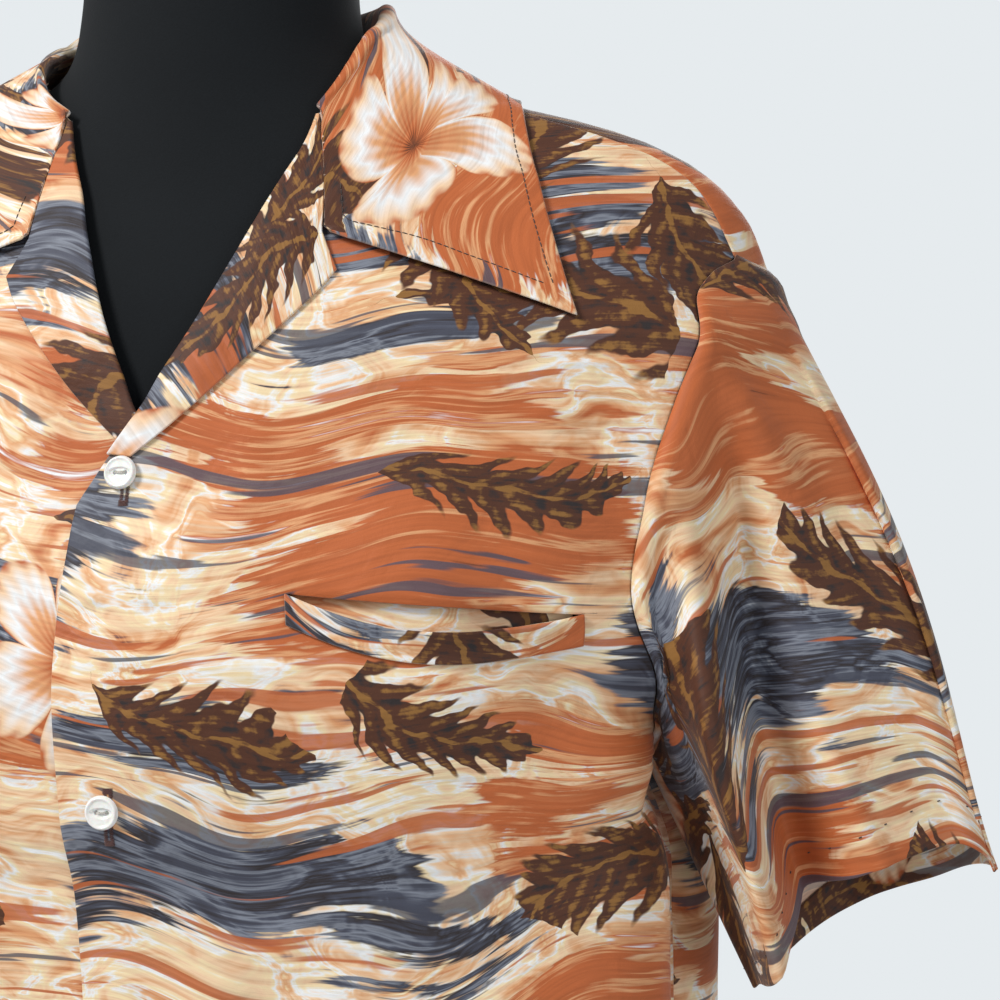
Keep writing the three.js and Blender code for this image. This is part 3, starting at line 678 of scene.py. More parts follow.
class Paint:
    """A material, and the nodes it is made of."""

    def __init__(self, name, **constants):
        self.material = bpy.data.materials.new(name)
        self.material.use_nodes = True
        self.tree = self.material.node_tree
        self.shader = self.tree.nodes["Principled BSDF"]
        for socket, value in constants.items():
            self.shader.inputs[socket.replace("_", " ")].default_value = value

    def node(self, kind, settings=None, sockets=None, out=0):
        node = self.tree.nodes.new(kind)
        for name, value in (settings or {}).items():
            if name == "stops":
                self.fill_ramp(node.color_ramp, value)
            else:
                setattr(node, name, value)
        for name, value in (sockets or {}).items():
            if isinstance(value, Value):
                self.tree.links.new(value.socket, node.inputs[name])
            else:
                node.inputs[name].default_value = value
        return Value(self, node.outputs[out])

    @staticmethod
    def fill_ramp(ramp, stops):
        while len(ramp.elements) < len(stops):
            ramp.elements.new(1)
        for element, (place, colour) in zip(ramp.elements, sorted(stops)):
            element.position = place
            element.color = colour

    def feed(self, socket, value):
        self.tree.links.new(value.socket, self.shader.inputs[socket])

    def cut(self):
        """Where the point lies on the flat cloth, in units of 100 mm, and its side."""
        settings = {"attribute_type": "GEOMETRY", "attribute_name": "cut"}
        place = self.node("ShaderNodeAttribute", settings, out="Vector")
        x, y, side = self.parts(place)
        return self.join(x * 0.01, y * 0.01, 0), side

    def place(self, scale):
        """Where the point lies on the object, in units of scale millimetres."""
        place = self.node("ShaderNodeTexCoord", out="Object")
        return self.stretch(place, (1000 / scale,) * 3)

    def parts(self, vector):
        node = self.node("ShaderNodeSeparateXYZ", sockets={0: vector})
        return [Value(self, output) for output in node.socket.node.outputs]

    def join(self, x, y, z):
        return self.node("ShaderNodeCombineXYZ", sockets={0: x, 1: y, 2: z})

    def stretch(self, vector, scale, shift=(0, 0, 0)):
        settings = {"operation": "MULTIPLY_ADD"}
        return self.node("ShaderNodeVectorMath", settings, {0: vector, 1: scale, 2: shift})

    def push(self, vector, way, strength):
        scaled = self.node("ShaderNodeVectorMath", {"operation": "SCALE"}, {0: way, 3: strength})
        return self.node("ShaderNodeVectorMath", {"operation": "ADD"}, {0: vector, 1: scaled})

    def noise(self, vector, scale=1, detail=3, rough=0.5, twist=0, out=0):
        sockets = {"Vector": vector, "Scale": scale, "Detail": detail, "Roughness": rough}
        sockets["Distortion"] = twist
        return self.node("ShaderNodeTexNoise", sockets=sockets, out=out)

    def ramp(self, value, stops):
        return self.node("ShaderNodeValToRGB", {"stops": stops}, {0: value})

    def step(self, value, low, high):
        """0 below low, 1 above high, and a soft edge between them."""
        sockets = {"Value": value, "From Min": low, "From Max": high}
        return self.node("ShaderNodeMapRange", {"interpolation_type": "SMOOTHSTEP"}, sockets)

    def blend(self, share, a, b, how="MIX"):
        settings = {"data_type": "RGBA", "blend_type": how}
        return self.node("ShaderNodeMix", settings, {0: share, 6: a, 7: b}, out=2)

    def bump(self, height, depth):
        """Feeds the shader's normal with a relief, depth in millimetres."""
        sockets = {"Height": height, "Strength": 1, "Distance": depth * MM}
        self.feed("Normal", self.node("ShaderNodeBump", sockets=sockets))


def finish(name, build):
    """The material of that name, made the first time it is asked for."""
    return bpy.data.materials.get(name) or build(name)


FULL_TURN = 6.283


def scattered(paint, flat, cell, randomness):
    """The way from the middle of the nearest motif, and numbers of its own."""
    sockets = {"Vector": flat, "Scale": cell, "Randomness": randomness}
    spots = paint.node("ShaderNodeTexVoronoi", {"voronoi_dimensions": "2D"}, sockets)
    outputs = spots.socket.node.outputs
    settings = {"operation": "SUBTRACT"}
    middle = Value(paint, outputs["Position"])
    away = paint.node("ShaderNodeVectorMath", settings, {0: flat, 1: middle})
    x, y, _ = paint.parts(away)
    turn, pick, _ = paint.parts(Value(paint, outputs["Color"]))
    return x, y, FULL_TURN * turn, pick


def flower(paint, flat, cell, size):
    """A five-petalled flower in each cell: how far out the point lies, and which way."""
    x, y, turn, pick = scattered(paint, flat, cell, 0.8)
    angle = y.maths("ARCTAN2", x) + turn
    ragged = paint.noise(flat, 9, 3)
    reach = (x * x + y * y) ** 0.5 * (0.93 + 0.14 * ragged)
    petal = abs((2.5 * angle).maths("COSINE")) ** 0.55
    edge = size * (0.42 + 0.58 * petal)
    return reach / edge, angle, pick


def leaf(paint, flat, cell, size):
    """A broad veined leaf in each cell: how far out the point lies, and its veins."""
    x, y, turn, pick = scattered(paint, flat, cell, 0.9)
    sine = turn.maths("SINE")
    cosine = turn.maths("COSINE")
    along = (x * cosine + y * sine) / size
    across = (y * cosine - x * sine) / size
    across = across + 0.28 * along * along
    off = abs(across)
    veins = 0.5 + 0.5 * (24 * along + 30 * off).maths("SINE")
    wide = (1 - along * along).maths("MAXIMUM", 0) ** 0.75 * (0.17 + 0.22 * veins)
    rib = 1 - paint.step(off, 0.01, 0.03)
    return off / (wide + 0.001), veins + rib, pick


# Layers of leaves: the pattern's shift, cells in 100 mm, a leaf's size, empty share
LEAF_LAYERS = [
    ((0, 0, 0), 0.95, 0.62, 0.42),
    ((3.3, 1.7, 0), 1.2, 0.46, 0.6),
]


def printed_cloth(name):
    """A painterly print of brushed bands, flowers and leaves on smooth light cloth."""
    paint = Paint(name, Roughness=0.62, Sheen_Weight=0.12, Sheen_Roughness=0.4,
                  Specular_IOR_Level=0.32)
    colours = bpy.context.scene.shirt_print
    rust, peach, pale, cream, white, slate, grey, dark, brown, gold = (
        (*getattr(colours, tone), 1) for tone in PrintColours.__annotations__
    )
    flat, side = paint.cut()
    drift = paint.noise(flat, 0.9, 1, 0.5, out="Color")
    bent = paint.push(flat, drift, 0.7)
    brush = paint.noise(paint.stretch(bent, (1.2, 17, 1)), 1, 3, 0.55, 0.25)
    hair = paint.noise(paint.stretch(bent, (2.8, 70, 1)), 1, 2, 0.55)
    curl = paint.noise(paint.stretch(bent, (1.5, 2.4, 1)), 1, 2, 0.5, out="Color")
    swirl = paint.noise(paint.stretch(paint.push(bent, curl, 1.5), (1.7, 3.6, 1)), 1, 4, 0.55, 0.6)

    # A soft wash of peach, cream and white, under broad brushed bands
    wash = paint.ramp(swirl + 0.35 * (brush - 0.5) + 0.12 * (hair - 0.5), [
        (0.28, rust), (0.37, peach), (0.44, pale), (0.49, cream), (0.53, white), (0.57, pale),
        (0.62, peach), (0.68, cream), (0.74, white),
    ])
    level = paint.noise(paint.stretch(bent, (0.5, 1.9, 1), (7.4, 5.1, 0)), 1, 2, 0.5)
    ragged = level + 0.24 * (brush - 0.5) + 0.12 * (swirl - 0.5) + 0.08 * (hair - 0.5)
    warm = paint.ramp(brush * 0.6 + hair * 0.25 + swirl * 0.15, [
        (0.30, brown), (0.36, rust), (0.52, rust), (0.58, peach), (0.62, rust), (0.68, white),
    ])
    cool = paint.ramp(brush * 0.45 + swirl * 0.35 + hair * 0.2, [
        (0.30, dark), (0.41, slate), (0.46, grey), (0.49, slate), (0.53, dark), (0.56, slate),
        (0.60, grey), (0.64, white),
    ])
    base = paint.blend(paint.step(ragged, 0.535, 0.555), wash, warm)
    base = paint.blend(1 - paint.step(ragged, 0.395, 0.415), base, cool)
    streak = paint.noise(paint.stretch(bent, (0.7, 11, 1), (5, 1, 0)), 1, 3, 0.5)
    base = paint.blend(0.9 * paint.step(streak, 0.60, 0.625), base, rust)
    base = paint.blend(0.85 * (1 - paint.step(streak, 0.365, 0.385)), base, slate)

    # Leaves in browns with lit veins, and open flowers between them
    shaken = paint.push(bent, paint.noise(flat, 8, 2, out="Color"), 0.09)
    daub = paint.noise(flat, 16, 3, 0.6)
    for shift, cell, size, share in LEAF_LAYERS:
        out, veins, pick = leaf(paint, paint.stretch(shaken, (1, 1, 1), shift), cell, size)
        mask = (1 - paint.step(out, 0.90, 1.06)) * paint.step(pick, share, share + 0.02)
        tone = paint.ramp(veins * 0.2 + hair * 0.3 + daub * 0.5, [
            (0.34, dark), (0.45, brown), (0.57, brown), (0.66, gold),
        ])
        base = paint.blend(mask, base, tone)
    reach, angle, pick = flower(paint, bent, 0.62, 0.46)
    bloom = (1 - paint.step(reach, 0.94, 1.0)) * paint.step(pick, 0.52, 0.56)
    veins = 0.5 + 0.5 * (angle * 30 + swirl * 5).maths("SINE")
    petals = paint.ramp(reach * 0.8 + veins * 0.08 + brush * 0.12, [
        (0.10, brown), (0.20, rust), (0.42, peach), (0.62, white), (0.80, pale), (0.90, rust),
    ])
    base = paint.blend(bloom, base, petals)
    strokes = paint.ramp(hair, [(0.30, (0.80, 0.78, 0.76, 1)), (0.62, (1.05, 1.05, 1.05, 1))])
    base = paint.blend(0.7, base, strokes, "MULTIPLY")

    # The wrong side shows the print washed out
    faded = paint.blend(0.62, base, (0.80, 0.62, 0.50, 1))
    paint.feed("Base Color", paint.blend(side, base, faded))
    fine = paint.place(1)
    weave = paint.noise(fine, 2.2, 2, 0.6)
    slubs = paint.noise(paint.stretch(flat, (9, 60, 1)), 1, 3)
    soft = paint.noise(flat, 7, 3, 0.45, 0.6)
    paint.bump(weave * 0.10 + slubs * 0.12 + soft * 0.9, 0.9)
    paint.feed("Roughness", 0.56 + 0.14 * weave)
    return paint.material


def form_cover(name):
    """Black knitted cover, matt, with a faint nap."""
    paint = Paint(name, Roughness=0.88, Sheen_Weight=0.06, Sheen_Roughness=0.5,
                  Specular_IOR_Level=0.2)
    knit = paint.noise(paint.place(1), 1.6, 2, 0.6)
    patch = paint.noise(paint.place(60), 1, 2)
    tone = paint.ramp(0.7 * knit + 0.3 * patch, [
        (0.35, (0.0030, 0.0042, 0.0056, 1)), (0.65, (0.0062, 0.0080, 0.0100, 1)),
    ])
    paint.feed("Base Color", tone)
    paint.feed("Roughness", 0.82 + 0.12 * knit)
    paint.bump(knit, 0.12)
    return paint.material


def stand_metal(name):
    """Satin black paint on steel."""
    paint = Paint(name, Roughness=0.42, Metallic=0.2)
    grain = paint.noise(paint.place(1), 1.2, 3)
    scuff = paint.noise(paint.place(35), 1, 4, 0.6)
    paint.feed("Base Color", paint.ramp(scuff, [
        (0.35, (0.012, 0.012, 0.013, 1)), (0.7, (0.022, 0.022, 0.024, 1)),
    ]))
    paint.feed("Roughness", 0.34 + 0.2 * scuff)
    paint.bump(grain, 0.03)
    return paint.material


def button_white(name):
    """Glossy white resin, faintly pearly."""
    paint = Paint(name, Roughness=0.16, Coat_Weight=0.6, Coat_Roughness=0.06,
                  Subsurface_Weight=0.15, Subsurface_Scale=0.002)
    cloud = paint.noise(paint.place(4), 1, 3, 0.5, 1.2)
    paint.feed("Base Color", paint.ramp(cloud, [
        (0.3, (0.78, 0.76, 0.70, 1)), (0.55, (0.90, 0.89, 0.86, 1)), (0.75, (0.84, 0.87, 0.90, 1)),
    ]))
    paint.feed("Roughness", 0.12 + 0.12 * cloud)
    return paint.material


def thread(name):
    """Spun thread."""
    colours = bpy.context.scene.shirt_threads
    tone = getattr(colours, name.removesuffix("_thread"))
    paint = Paint(name, Roughness=0.7, Sheen_Weight=0.3)
    ply = paint.noise(paint.place(0.4), 1, 2)
    shade = tuple(0.55 * part for part in tone)
    paint.feed("Base Color", paint.ramp(ply, [(0.35, (*shade, 1)), (0.65, (*tone, 1))]))
    paint.bump(ply, 0.05)
    return paint.material


def floor_paper(name):
    """Plain pale paper that fades out away from the stand."""
    paint = Paint(name, Roughness=0.9)
    grain = paint.noise(paint.place(3), 1, 3)
    paint.feed("Base Color", paint.ramp(grain, [
        (0.3, (0.70, 0.735, 0.755, 1)), (0.7, (0.74, 0.775, 0.795, 1)),
    ]))
    x, y, _ = paint.parts(paint.place(1000))
    paint.feed("Alpha", 1 - paint.step((x * x + y * y) ** 0.5, 0.35, 1.3))
    return paint.material


# Front panels, with the opening of the chest pocket
HEM_ALLOWANCE = 19
SHELL = 0.5
SHELL_OFF = 0.9
SHELL_FACE = SHELL_OFF + SHELL / 2
TURNED_OFF = 0.15
POCKET = {
    "from": 30.3,
    "to": 66,
    "left_height": 636,
    "right_height": 628.3,
    "rise": 5,
    "sag": 9,
    "welt": 10,
    "gape": 4,
    "deep": 118,
    "hollow": 8,
    "slack": 1.8,
}


FRONT_ROW = 4.2
FRONT_COLUMNS = 84
BACK_ROW = 4.4
BACK_COLUMNS = 150
LEVEL_ROWS_TOP = 737
MOUTH_HALF = 0.3
MOUTH_ROWS = 14


def pocket_line(share):
    return mix(POCKET["left_height"], POCKET["right_height"], share)


def pocket_angle(share):
    return mix(POCKET["from"], POCKET["to"], share)


def mouth_top(share):
    return pocket_line(share) + 0.4 + POCKET["rise"] * swell(share)


def mouth_lip(share):
    return pocket_line(share) - 0.4 - POCKET["sag"] * swell(share)


def front_edge_height(side_height):
    """Rows tilt above a level height, so that they end at the top of the roll line."""
    tilted = side_height - LEVEL_ROWS_TOP
    slope = (ROLL_TOP_HEIGHT - LEVEL_ROWS_TOP) / (NECK_SIDE_HEIGHT - LEVEL_ROWS_TOP)
    return np.where(tilted < 0, side_height, LEVEL_ROWS_TOP + tilted * slope)


def gap_degrees(height, degrees):
    return np.degrees(SEAM_GAP / 2 / cloth_radius(height, degrees))


def underlap(height, degrees):
    """The right front runs under the left one at the middle."""
    return UNDERLAP_SINK * smooth((26 - degrees) / 14) * smooth((722 - height) / 22)


def body_rows(spacing):
    """Heights from the hem up, closer together at the hem, armpit and shoulder."""
    whole = NECK_SIDE_HEIGHT - HEM_HEIGHT
    rows = HEM_HEIGHT + whole * edged(int(whole / spacing), 0.0006)
    allowance = HEM_HEIGHT + HEM_ALLOWANCE
    return np.unique(np.append(rows, [allowance, ARMPIT_HEIGHT, SHOULDER_POINT_HEIGHT]))


def hemmed_rows(base, normals, flat, heights):
    """The middle and the flat map of a panel whose lowest rows are turned up inside."""
    rows_in = int(np.sum(heights <= HEM_HEIGHT + HEM_ALLOWANCE))
    middle = turned_hem(base[::-1], normals[::-1], SHELL_OFF, TURNED_OFF, rows_in)[::-1]
    return middle, turned_map(flat[::-1], rows_in)[::-1]


def front_grid(side):
    """Heights and angles of a front, from its edge at the opening to its side."""
    side_height = body_rows(FRONT_ROW)
    if side > 0:
        lips = [pocket_line(0.5) - MOUTH_HALF, pocket_line(0.5) + MOUTH_HALF]
        side_height = np.unique(np.append(side_height, lips))
    columns = edged(FRONT_COLUMNS)
    share = 1.35 * columns - 0.35 * columns ** 2
    side_height = side_height[:, None]
    edge_height = front_edge_height(side_height)
    seam = SIDE_EDGE("front", side_height)
    height = mix(edge_height, side_height, share)
    seam = seam - gap_degrees(side_height, side * seam)
    degrees = mix(FRONT_EDGE("angle", edge_height), seam, share)
    if side < 0:
        degrees = right_angle(height, degrees)
    return height, degrees


def open_mouth(height, degrees):
    """Draws two rows to the lips of the pocket's mouth, and says where it is open."""
    share = (degrees - POCKET["from"]) / (POCKET["to"] - POCKET["from"])
    inside = (share > 0) & (share < 1)
    line = pocket_line(np.clip(share, 0, 1))
    middle = pocket_line(0.5)
    rows = height[:, 0]
    below = int(np.argmin(abs(rows - middle + MOUTH_HALF)))
    above = int(np.argmin(abs(rows - middle - MOUTH_HALF)))
    reach = smooth(1 - abs(height - middle) / 60)
    fade = smooth((share + 0.5) / 0.5) * smooth((1.3 - share) / 0.3)
    height = height + (line - middle) * reach * fade
    lips = np.where(inside, mouth_lip(share), line), np.where(inside, mouth_top(share), line)
    for row, lip in zip((below, above), lips):
        near = (share[row] > -0.5) & (share[row] < 1.3)
        shift = np.where(near, lip[row] - height[row], 0)
        way = -1 if row == below else 1
        for step in range(MOUTH_ROWS):
            height[row + way * step] += shift * smooth(1 - step / MOUTH_ROWS)
    shut = ~inside[below]
    height[below, shut] = height[above, shut]
    return height, below, above, shut


def front_panel(side):
    """A front, left (1) or right (-1). The left one has the slit of the pocket."""
    height, degrees = front_grid(side)
    ids = None
    gone = None
    sink = underlap(height, degrees) if side < 0 else 0 * height
    if side > 0:
        height, below, above, shut = open_mouth(height, degrees)
    base = off_cloth(height, side * degrees, -sink)
    normals = cloth_normal(height, side * degrees)
    flat = body_map(base, height, degrees[:, 0], 0) * (side, 1)
    middle, cut = hemmed_rows(base, normals, flat, height[:, -1])
    added = len(middle) - len(base)
    if side > 0:
        rows, columns = middle.shape[:2]
        ids = np.arange(rows * columns).reshape(rows, columns)
        below += added
        above += added
        ids[below, shut] = ids[above, shut]
        gone = np.zeros((rows - 1, columns - 1), bool)
        gone[below] = True
    if side < 0:
        middle = middle[:, ::-1]
        cut = cut[:, ::-1]
    name = f"{SIDES[side]}_front"
    cloth_piece(name, middle, SHELL, cut, ids, gone)


NECK_CURVE_START = 792


def back_panel():
    """The back, in one piece."""
    height = body_rows(BACK_ROW)[:, None]
    share = edged(BACK_COLUMNS, 0.002)
    share = share - 0.012 * np.sin(4 * np.pi * share)
    seam = SIDE_EDGE("back", height)
    left = seam + gap_degrees(height, seam)
    right = 360 - seam - gap_degrees(height, -seam)
    grown = smooth((height - NECK_CURVE_START) / (NECK_SIDE_HEIGHT - NECK_CURVE_START))
    lift = (NECK_BACK_HEIGHT - NECK_SIDE_HEIGHT) * grown
    places = height + lift * np.sin(np.pi * share) ** 2
    degrees = mix(left, right, share)
    base = on_cloth(places, degrees)
    centre = len(share) // 2
    flat = body_map(base, places, np.full(len(base), PLACKET_DEGREES), centre)
    middle, cut = hemmed_rows(base, cloth_normal(places, degrees), flat, height[:, 0])
    cloth_piece("back", middle, SHELL, cut)


# Sleeves
SLEEVE_HEM = {
    "centre": np.array([255.5, 4, 508]),
    "across": np.array([0.88, 0, 0.47]),
    "up": np.array([-0.47, 0, 0.88]),
    "half_width": 50,
    "front": 40,
    "back": 60,
}
CROWN_OUT = 10
CROWN_UP = 5

# Angles round a sleeve: 0 at its outer crease, 90 at the front, 180 underarm
HEM_LIFT = table("angle lift", [
    (0, 0),
    (30, 16),
    (60, 22),
    (80, 25),
    (104, 28),
    (118, 17),
    (130, 8),
    (150, 3),
    (180, 0),
    (360, 0),
])
SLEEVE_FOLDS = records("hem_angle sweep width depth start full", [
    (44, 10, 36, -15, 0.08, 0.5),
    (105, 80, 15, -23, 0.04, 0.3),
    (130, 88, 18, 18, 0.06, 0.5),
    (156, 40, 13, -7, 0.1, 0.4),
    (248, -8, 24, 8, 0.1, 0.6),
    (300, 10, 17, -8, 0.15, 0.7),
    (214, 5, 14, -7, 0.1, 0.5),
    (114, 84, 7, -9, 0.12, 0.5),
    (127, 86, 8, 7, 0.12, 0.5),
    (70, 4, 4, 2.4, 0.5, 0.9),
    (20, 30, 9, 1.4, 0.1, 0.5),
    (268, 20, 8, 1.5, 0.1, 0.5),
])
ARMHOLE_GAP = 0.45
ARMHOLE_STOPS = 84
SLEEVE_CLEARANCE = 3.5
SLEEVE_HEM_ROWS = 8


def armhole(side):
    """The armhole just off the body's outer face: down the front and up the back."""
    points = []
    angles = []
    rows = np.linspace(SHOULDER_POINT_HEIGHT, ARMPIT_HEIGHT, ARMHOLE_STOPS)
    gap = ARMHOLE_GAP + 0.5 * bell(rows - ARMPIT_HEIGHT - 16, 26)
    for name in ("front", "back"):
        half = off_cloth(rows, side * SIDE_EDGE(name, rows), CLOTH + gap)
        run = run_lengths(half[None], 1)[0]
        angle = 180 * run / run[-1]
        even = np.linspace(0, 180, ARMHOLE_STOPS)
        half = np.stack([np.interp(even, angle, half[:, k]) for k in range(3)], axis=-1)
        points.append(half if name == "front" else half[-2:0:-1])
        angles.append(even if name == "front" else 360 - even[-2:0:-1])
    return np.concatenate(points), np.concatenate(angles)


def sleeve_surface(side, t):
    """The inner face of a sleeve, from the armhole (t 0) to the hem (t 1)."""
    start, angle = armhole(side)
    t = t[:, None]
    turn = np.radians(angle)
    deep = np.where(np.sin(turn) > 0, SLEEVE_HEM["front"], SLEEVE_HEM["back"])
    hem = (
        SLEEVE_HEM["centre"]
        + np.outer(SLEEVE_HEM["half_width"] * np.cos(turn), SLEEVE_HEM["across"])
        + np.outer(HEM_LIFT("lift", angle), SLEEVE_HEM["up"])
    )
    hem[:, 1] -= deep * np.sin(turn)
    hem[:, 0] *= side
    points = mix(start, hem, t[..., None])
    bulge = np.maximum(0, np.cos(turn)) ** 2 * (4 * t * (1 - t)) ** 1.7
    points[..., 0] += side * CROWN_OUT * bulge
    points[..., 2] += CROWN_UP * bulge
    for fold in SLEEVE_FOLDS:
        crest = fold["hem_angle"] - fold["sweep"] * (1 - np.sqrt(t))
        grown = smooth((t - fold["start"]) / (fold["full"] - fold["start"]))
        depth = fold["depth"] * grown * bell(turn_between(angle, crest), fold["width"])
        points[..., 1] -= depth * np.where(angle < 180, 1, -1)
    clearance = np.minimum(SLEEVE_CLEARANCE, 200 * t) * (1 - 0.8 * bell(turn_between(angle, 0), 45))
    clear = keep_off(points, CLOTH + ARMHOLE_GAP + clearance)
    clear[0] = start
    return clear


def sleeve(side):
    """A sleeve, as one strip that meets itself under the arm."""
    t = np.concatenate([[0, 0.01, 0.02, 0.035, 0.05], np.linspace(0.07, 0.995, 76), [1]])
    base = sleeve_surface(side, t)
    if side < 0:
        base = base[:, ::-1]
    underarm = base.shape[1] // 2
    base = np.roll(base, underarm, axis=1)
    base = np.concatenate([base, base[:, :1]], axis=1)
    normals = grid_normals(base)
    seam = unit(normals[:, 0] + normals[:, -1])
    normals[:, 0] = seam
    normals[:, -1] = seam
    flat = cut_map(base, underarm, anchor_row=-1) * (1, -1)
    middle = turned_hem(base, normals, SHELL_OFF, TURNED_OFF, SLEEVE_HEM_ROWS)
    cut = turned_map(flat, SLEEVE_HEM_ROWS)
    cloth_piece(f"{SIDES[side]}_sleeve", middle, SHELL, cut)
    return base, normals


# Collar: its neck seam, its roll and its outer edge, from the middle of the
# back (0) to the front end (1)
COLLAR = table(
    "place seam_angle seam_height roll_angle roll_height roll_off edge_angle edge_height bend",
    [
        (0, 180, 845, 180, 873, 9, 180, 822, 0),
        (0.3, 142, 841.6, 142, 872, 8.5, 143, 821, 0),
        (0.5, 112, 836.7, 112, 868, 7, 118, 818.5, 0),
        (0.64, 93, 834.6, 92, 856, 6, 94.5, 820, 0),
        (0.74, 80, 834, 79, 846, 5, 83.5, 814, 0),
        (0.84, 67, 824.4, 66, 832, 4.2, 76.4, 789, 0.15),
        (0.92, 58.5, 817.6, 58, 822, 3.0, 72.6, 762, 0.5),
        (1, 51.6, 812.0, 51.2, 813.8, 0.9, 69.4, 732, 1),
    ],
)
GORGE_HEIGHT = 763
GORGE_ANGLE = 42.9
COLLAR_LAP = 2
COLLAR_SPRING = 0.9
COLLAR_SHELL = 1.1
COLLAR_LEAF = 0.72
COLLAR_DROP = 6
COLLAR_ROWS = 220
COLLAR_GRAIN = 78


def gorge_height(share):
    """The seam between collar and lapel, from the roll line out to the notch."""
    return mix(ROLL_TOP_HEIGHT, GORGE_HEIGHT, share)


def gorge_angle(share):
    return mix(FRONT_EDGE("angle", ROLL_TOP_HEIGHT), GORGE_ANGLE, share)


def straight_leaf(u, edge):
    """Draws the outer edge of each leaf taut, from the shoulder to its point."""
    straight = edge.copy()
    for way in (-1, 1):
        place = way * u[:, 0]
        leaf = place > COLLAR_LEAF
        at = [np.argmin(abs(place - share)) for share in (COLLAR_LEAF, (1 + COLLAR_LEAF) / 2, 1)]
        share = ((place[leaf] - COLLAR_LEAF) / (1 - COLLAR_LEAF))[:, None, None]
        straight[leaf] = through(*edge[at], share)
    return straight


def collar_grid():
    """The middle of the collar's wall: across it from the neck seam to its edge."""
    u = 2 * edged(COLLAR_ROWS, 0.001) - 1
    u = (np.sign(u) * abs(u) ** 0.85)[:, None]
    place = abs(u)

    def size(name):
        return COLLAR(name, place)

    def real(degrees, height):
        return np.where(u < 0, 360 - right_angle(height, degrees), degrees)

    lying = LAID_ON + COLLAR_CLOTH / 2
    lap = COLLAR_LAP * (1 - place ** 4)
    seam_height = size("seam_height")
    seam = off_cloth(seam_height - lap, real(size("seam_angle"), seam_height), lying + 0.4)
    roll_height = size("roll_height") - np.where(u < 0, COLLAR_DROP * swell(1.8 * place - 0.8), 0)
    roll_angle = real(size("roll_angle"), roll_height)
    half = np.minimum(3, 0.4 * (roll_height - seam_height))[..., None]
    crest = off_cloth(roll_height, roll_angle, size("roll_off") + lying)
    outward = polar(0, roll_angle, 1)
    turns = np.radians(np.linspace(180, 0, 11))[None, :, None]
    arc = crest + outward * half * np.cos(turns)
    arc = arc + np.array([0, 0, 1]) * half * (np.sin(turns) - 1)
    stand = mix(seam, arc[:, :1], np.linspace(0, 1, 8)[None, :-1, None])
    edge_height = size("edge_height")
    edge_angle = real(size("edge_angle"), edge_height)
    edge = straight_leaf(u, off_cloth(edge_height, edge_angle, lying))
    start = arc[:, -1:]
    v = np.concatenate([np.linspace(0, 1, 40)[1:-1], [0.994, 1]])[None, :]
    corner_share = np.clip(v * 2, 0, 1)
    gorge_rise = gorge_height(corner_share)
    gorge = off_cloth(gorge_rise, real(gorge_angle(corner_share) + 0.4, gorge_rise), lying)
    corner = gorge[:, -1:]
    straight = mix(start, edge, 0.5)
    straight = straight + 0.03 * outward * np.linalg.norm(edge - start, axis=-1, keepdims=True)
    bend = size("bend")[..., None]
    middle = mix(straight, corner, bend)
    v3 = v[..., None]
    kinked = np.where(v3 < 0.5, gorge, mix(middle, edge, v3 * 2 - 1))
    rounded = through(start, middle, edge, v3)
    fall = keep_off(mix(rounded, kinked, bend), lying + 0.9 + COLLAR_SPRING * swell(v) + 0 * u)
    return np.concatenate([stand, arc, fall], axis=1)


def collar():
    """The collar, folded at its roll."""
    middle = collar_grid()[::-1]
    cut = cut_map(middle, slant=COLLAR_GRAIN)
    cloth_piece("collar", middle, COLLAR_SHELL, cut)
    return middle


# Lapels: the tops of the fronts turned back along the roll line
LAPEL = table("place roll_height edge_height edge_angle", [
    (0, 684, 683, 1.7),
    (0.25, 716, 704, 16.4),
    (0.5, 748, 723, 28.6),
    (0.75, 781, 740, 39),
    (1, ROLL_TOP_HEIGHT, 749, 43.8),
])
LAPEL_NOTCH_TURN = 2.5
LAPEL_NOTCH = 0.77
LAPEL_SHELL = 0.9
LAPEL_ROLL_STEPS = 8
LAPEL_GRAIN = 35


def lapel(side):
    """A lapel, from the roll line out to its edge."""
    place = mix(0.07 if side < 0 else 0, 0.994, edged(80))[:, None]
    roll_height = LAPEL("roll_height", place)
    roll_angle = FRONT_EDGE("angle", roll_height)
    flat = edged(44, 0.008)
    rolled = np.linspace(0, 180, LAPEL_ROLL_STEPS + 1)[:-1]
    share = np.concatenate([np.zeros(LAPEL_ROLL_STEPS), flat])
    round_ = np.radians(np.concatenate([rolled, np.full(len(flat), 180)]))
    height = mix(roll_height, LAPEL("edge_height", place), share)
    bow = np.where(share < LAPEL_NOTCH, share / LAPEL_NOTCH, (1 - share) / (1 - LAPEL_NOTCH))
    degrees = mix(roll_angle, LAPEL("edge_angle", place), share)
    degrees = degrees - LAPEL_NOTCH_TURN * bow * smooth(4 * place - 3)
    degrees = degrees - 0.5 * np.sin(round_)
    if side < 0:
        degrees = right_angle(height, degrees)
    spring = 1.5 * swell(share) * smooth(place * 3)
    sink = underlap(height, degrees) if side < 0 else 0
    lying = LAID_ON + CLOTH / 2
    off = mix(SHELL_OFF, lying + spring, (1 - np.cos(round_)) / 2) - sink
    middle = off_cloth(height, side * degrees, off)
    if side < 0:
        middle = middle[:, ::-1]
    cut = cut_map(middle, slant=LAPEL_GRAIN)
    cloth_piece(f"{SIDES[side]}_lapel", middle, LAPEL_SHELL, cut)


# Chest pocket
WELT_SHELL = 0.8
BAG_TURN = 0.02


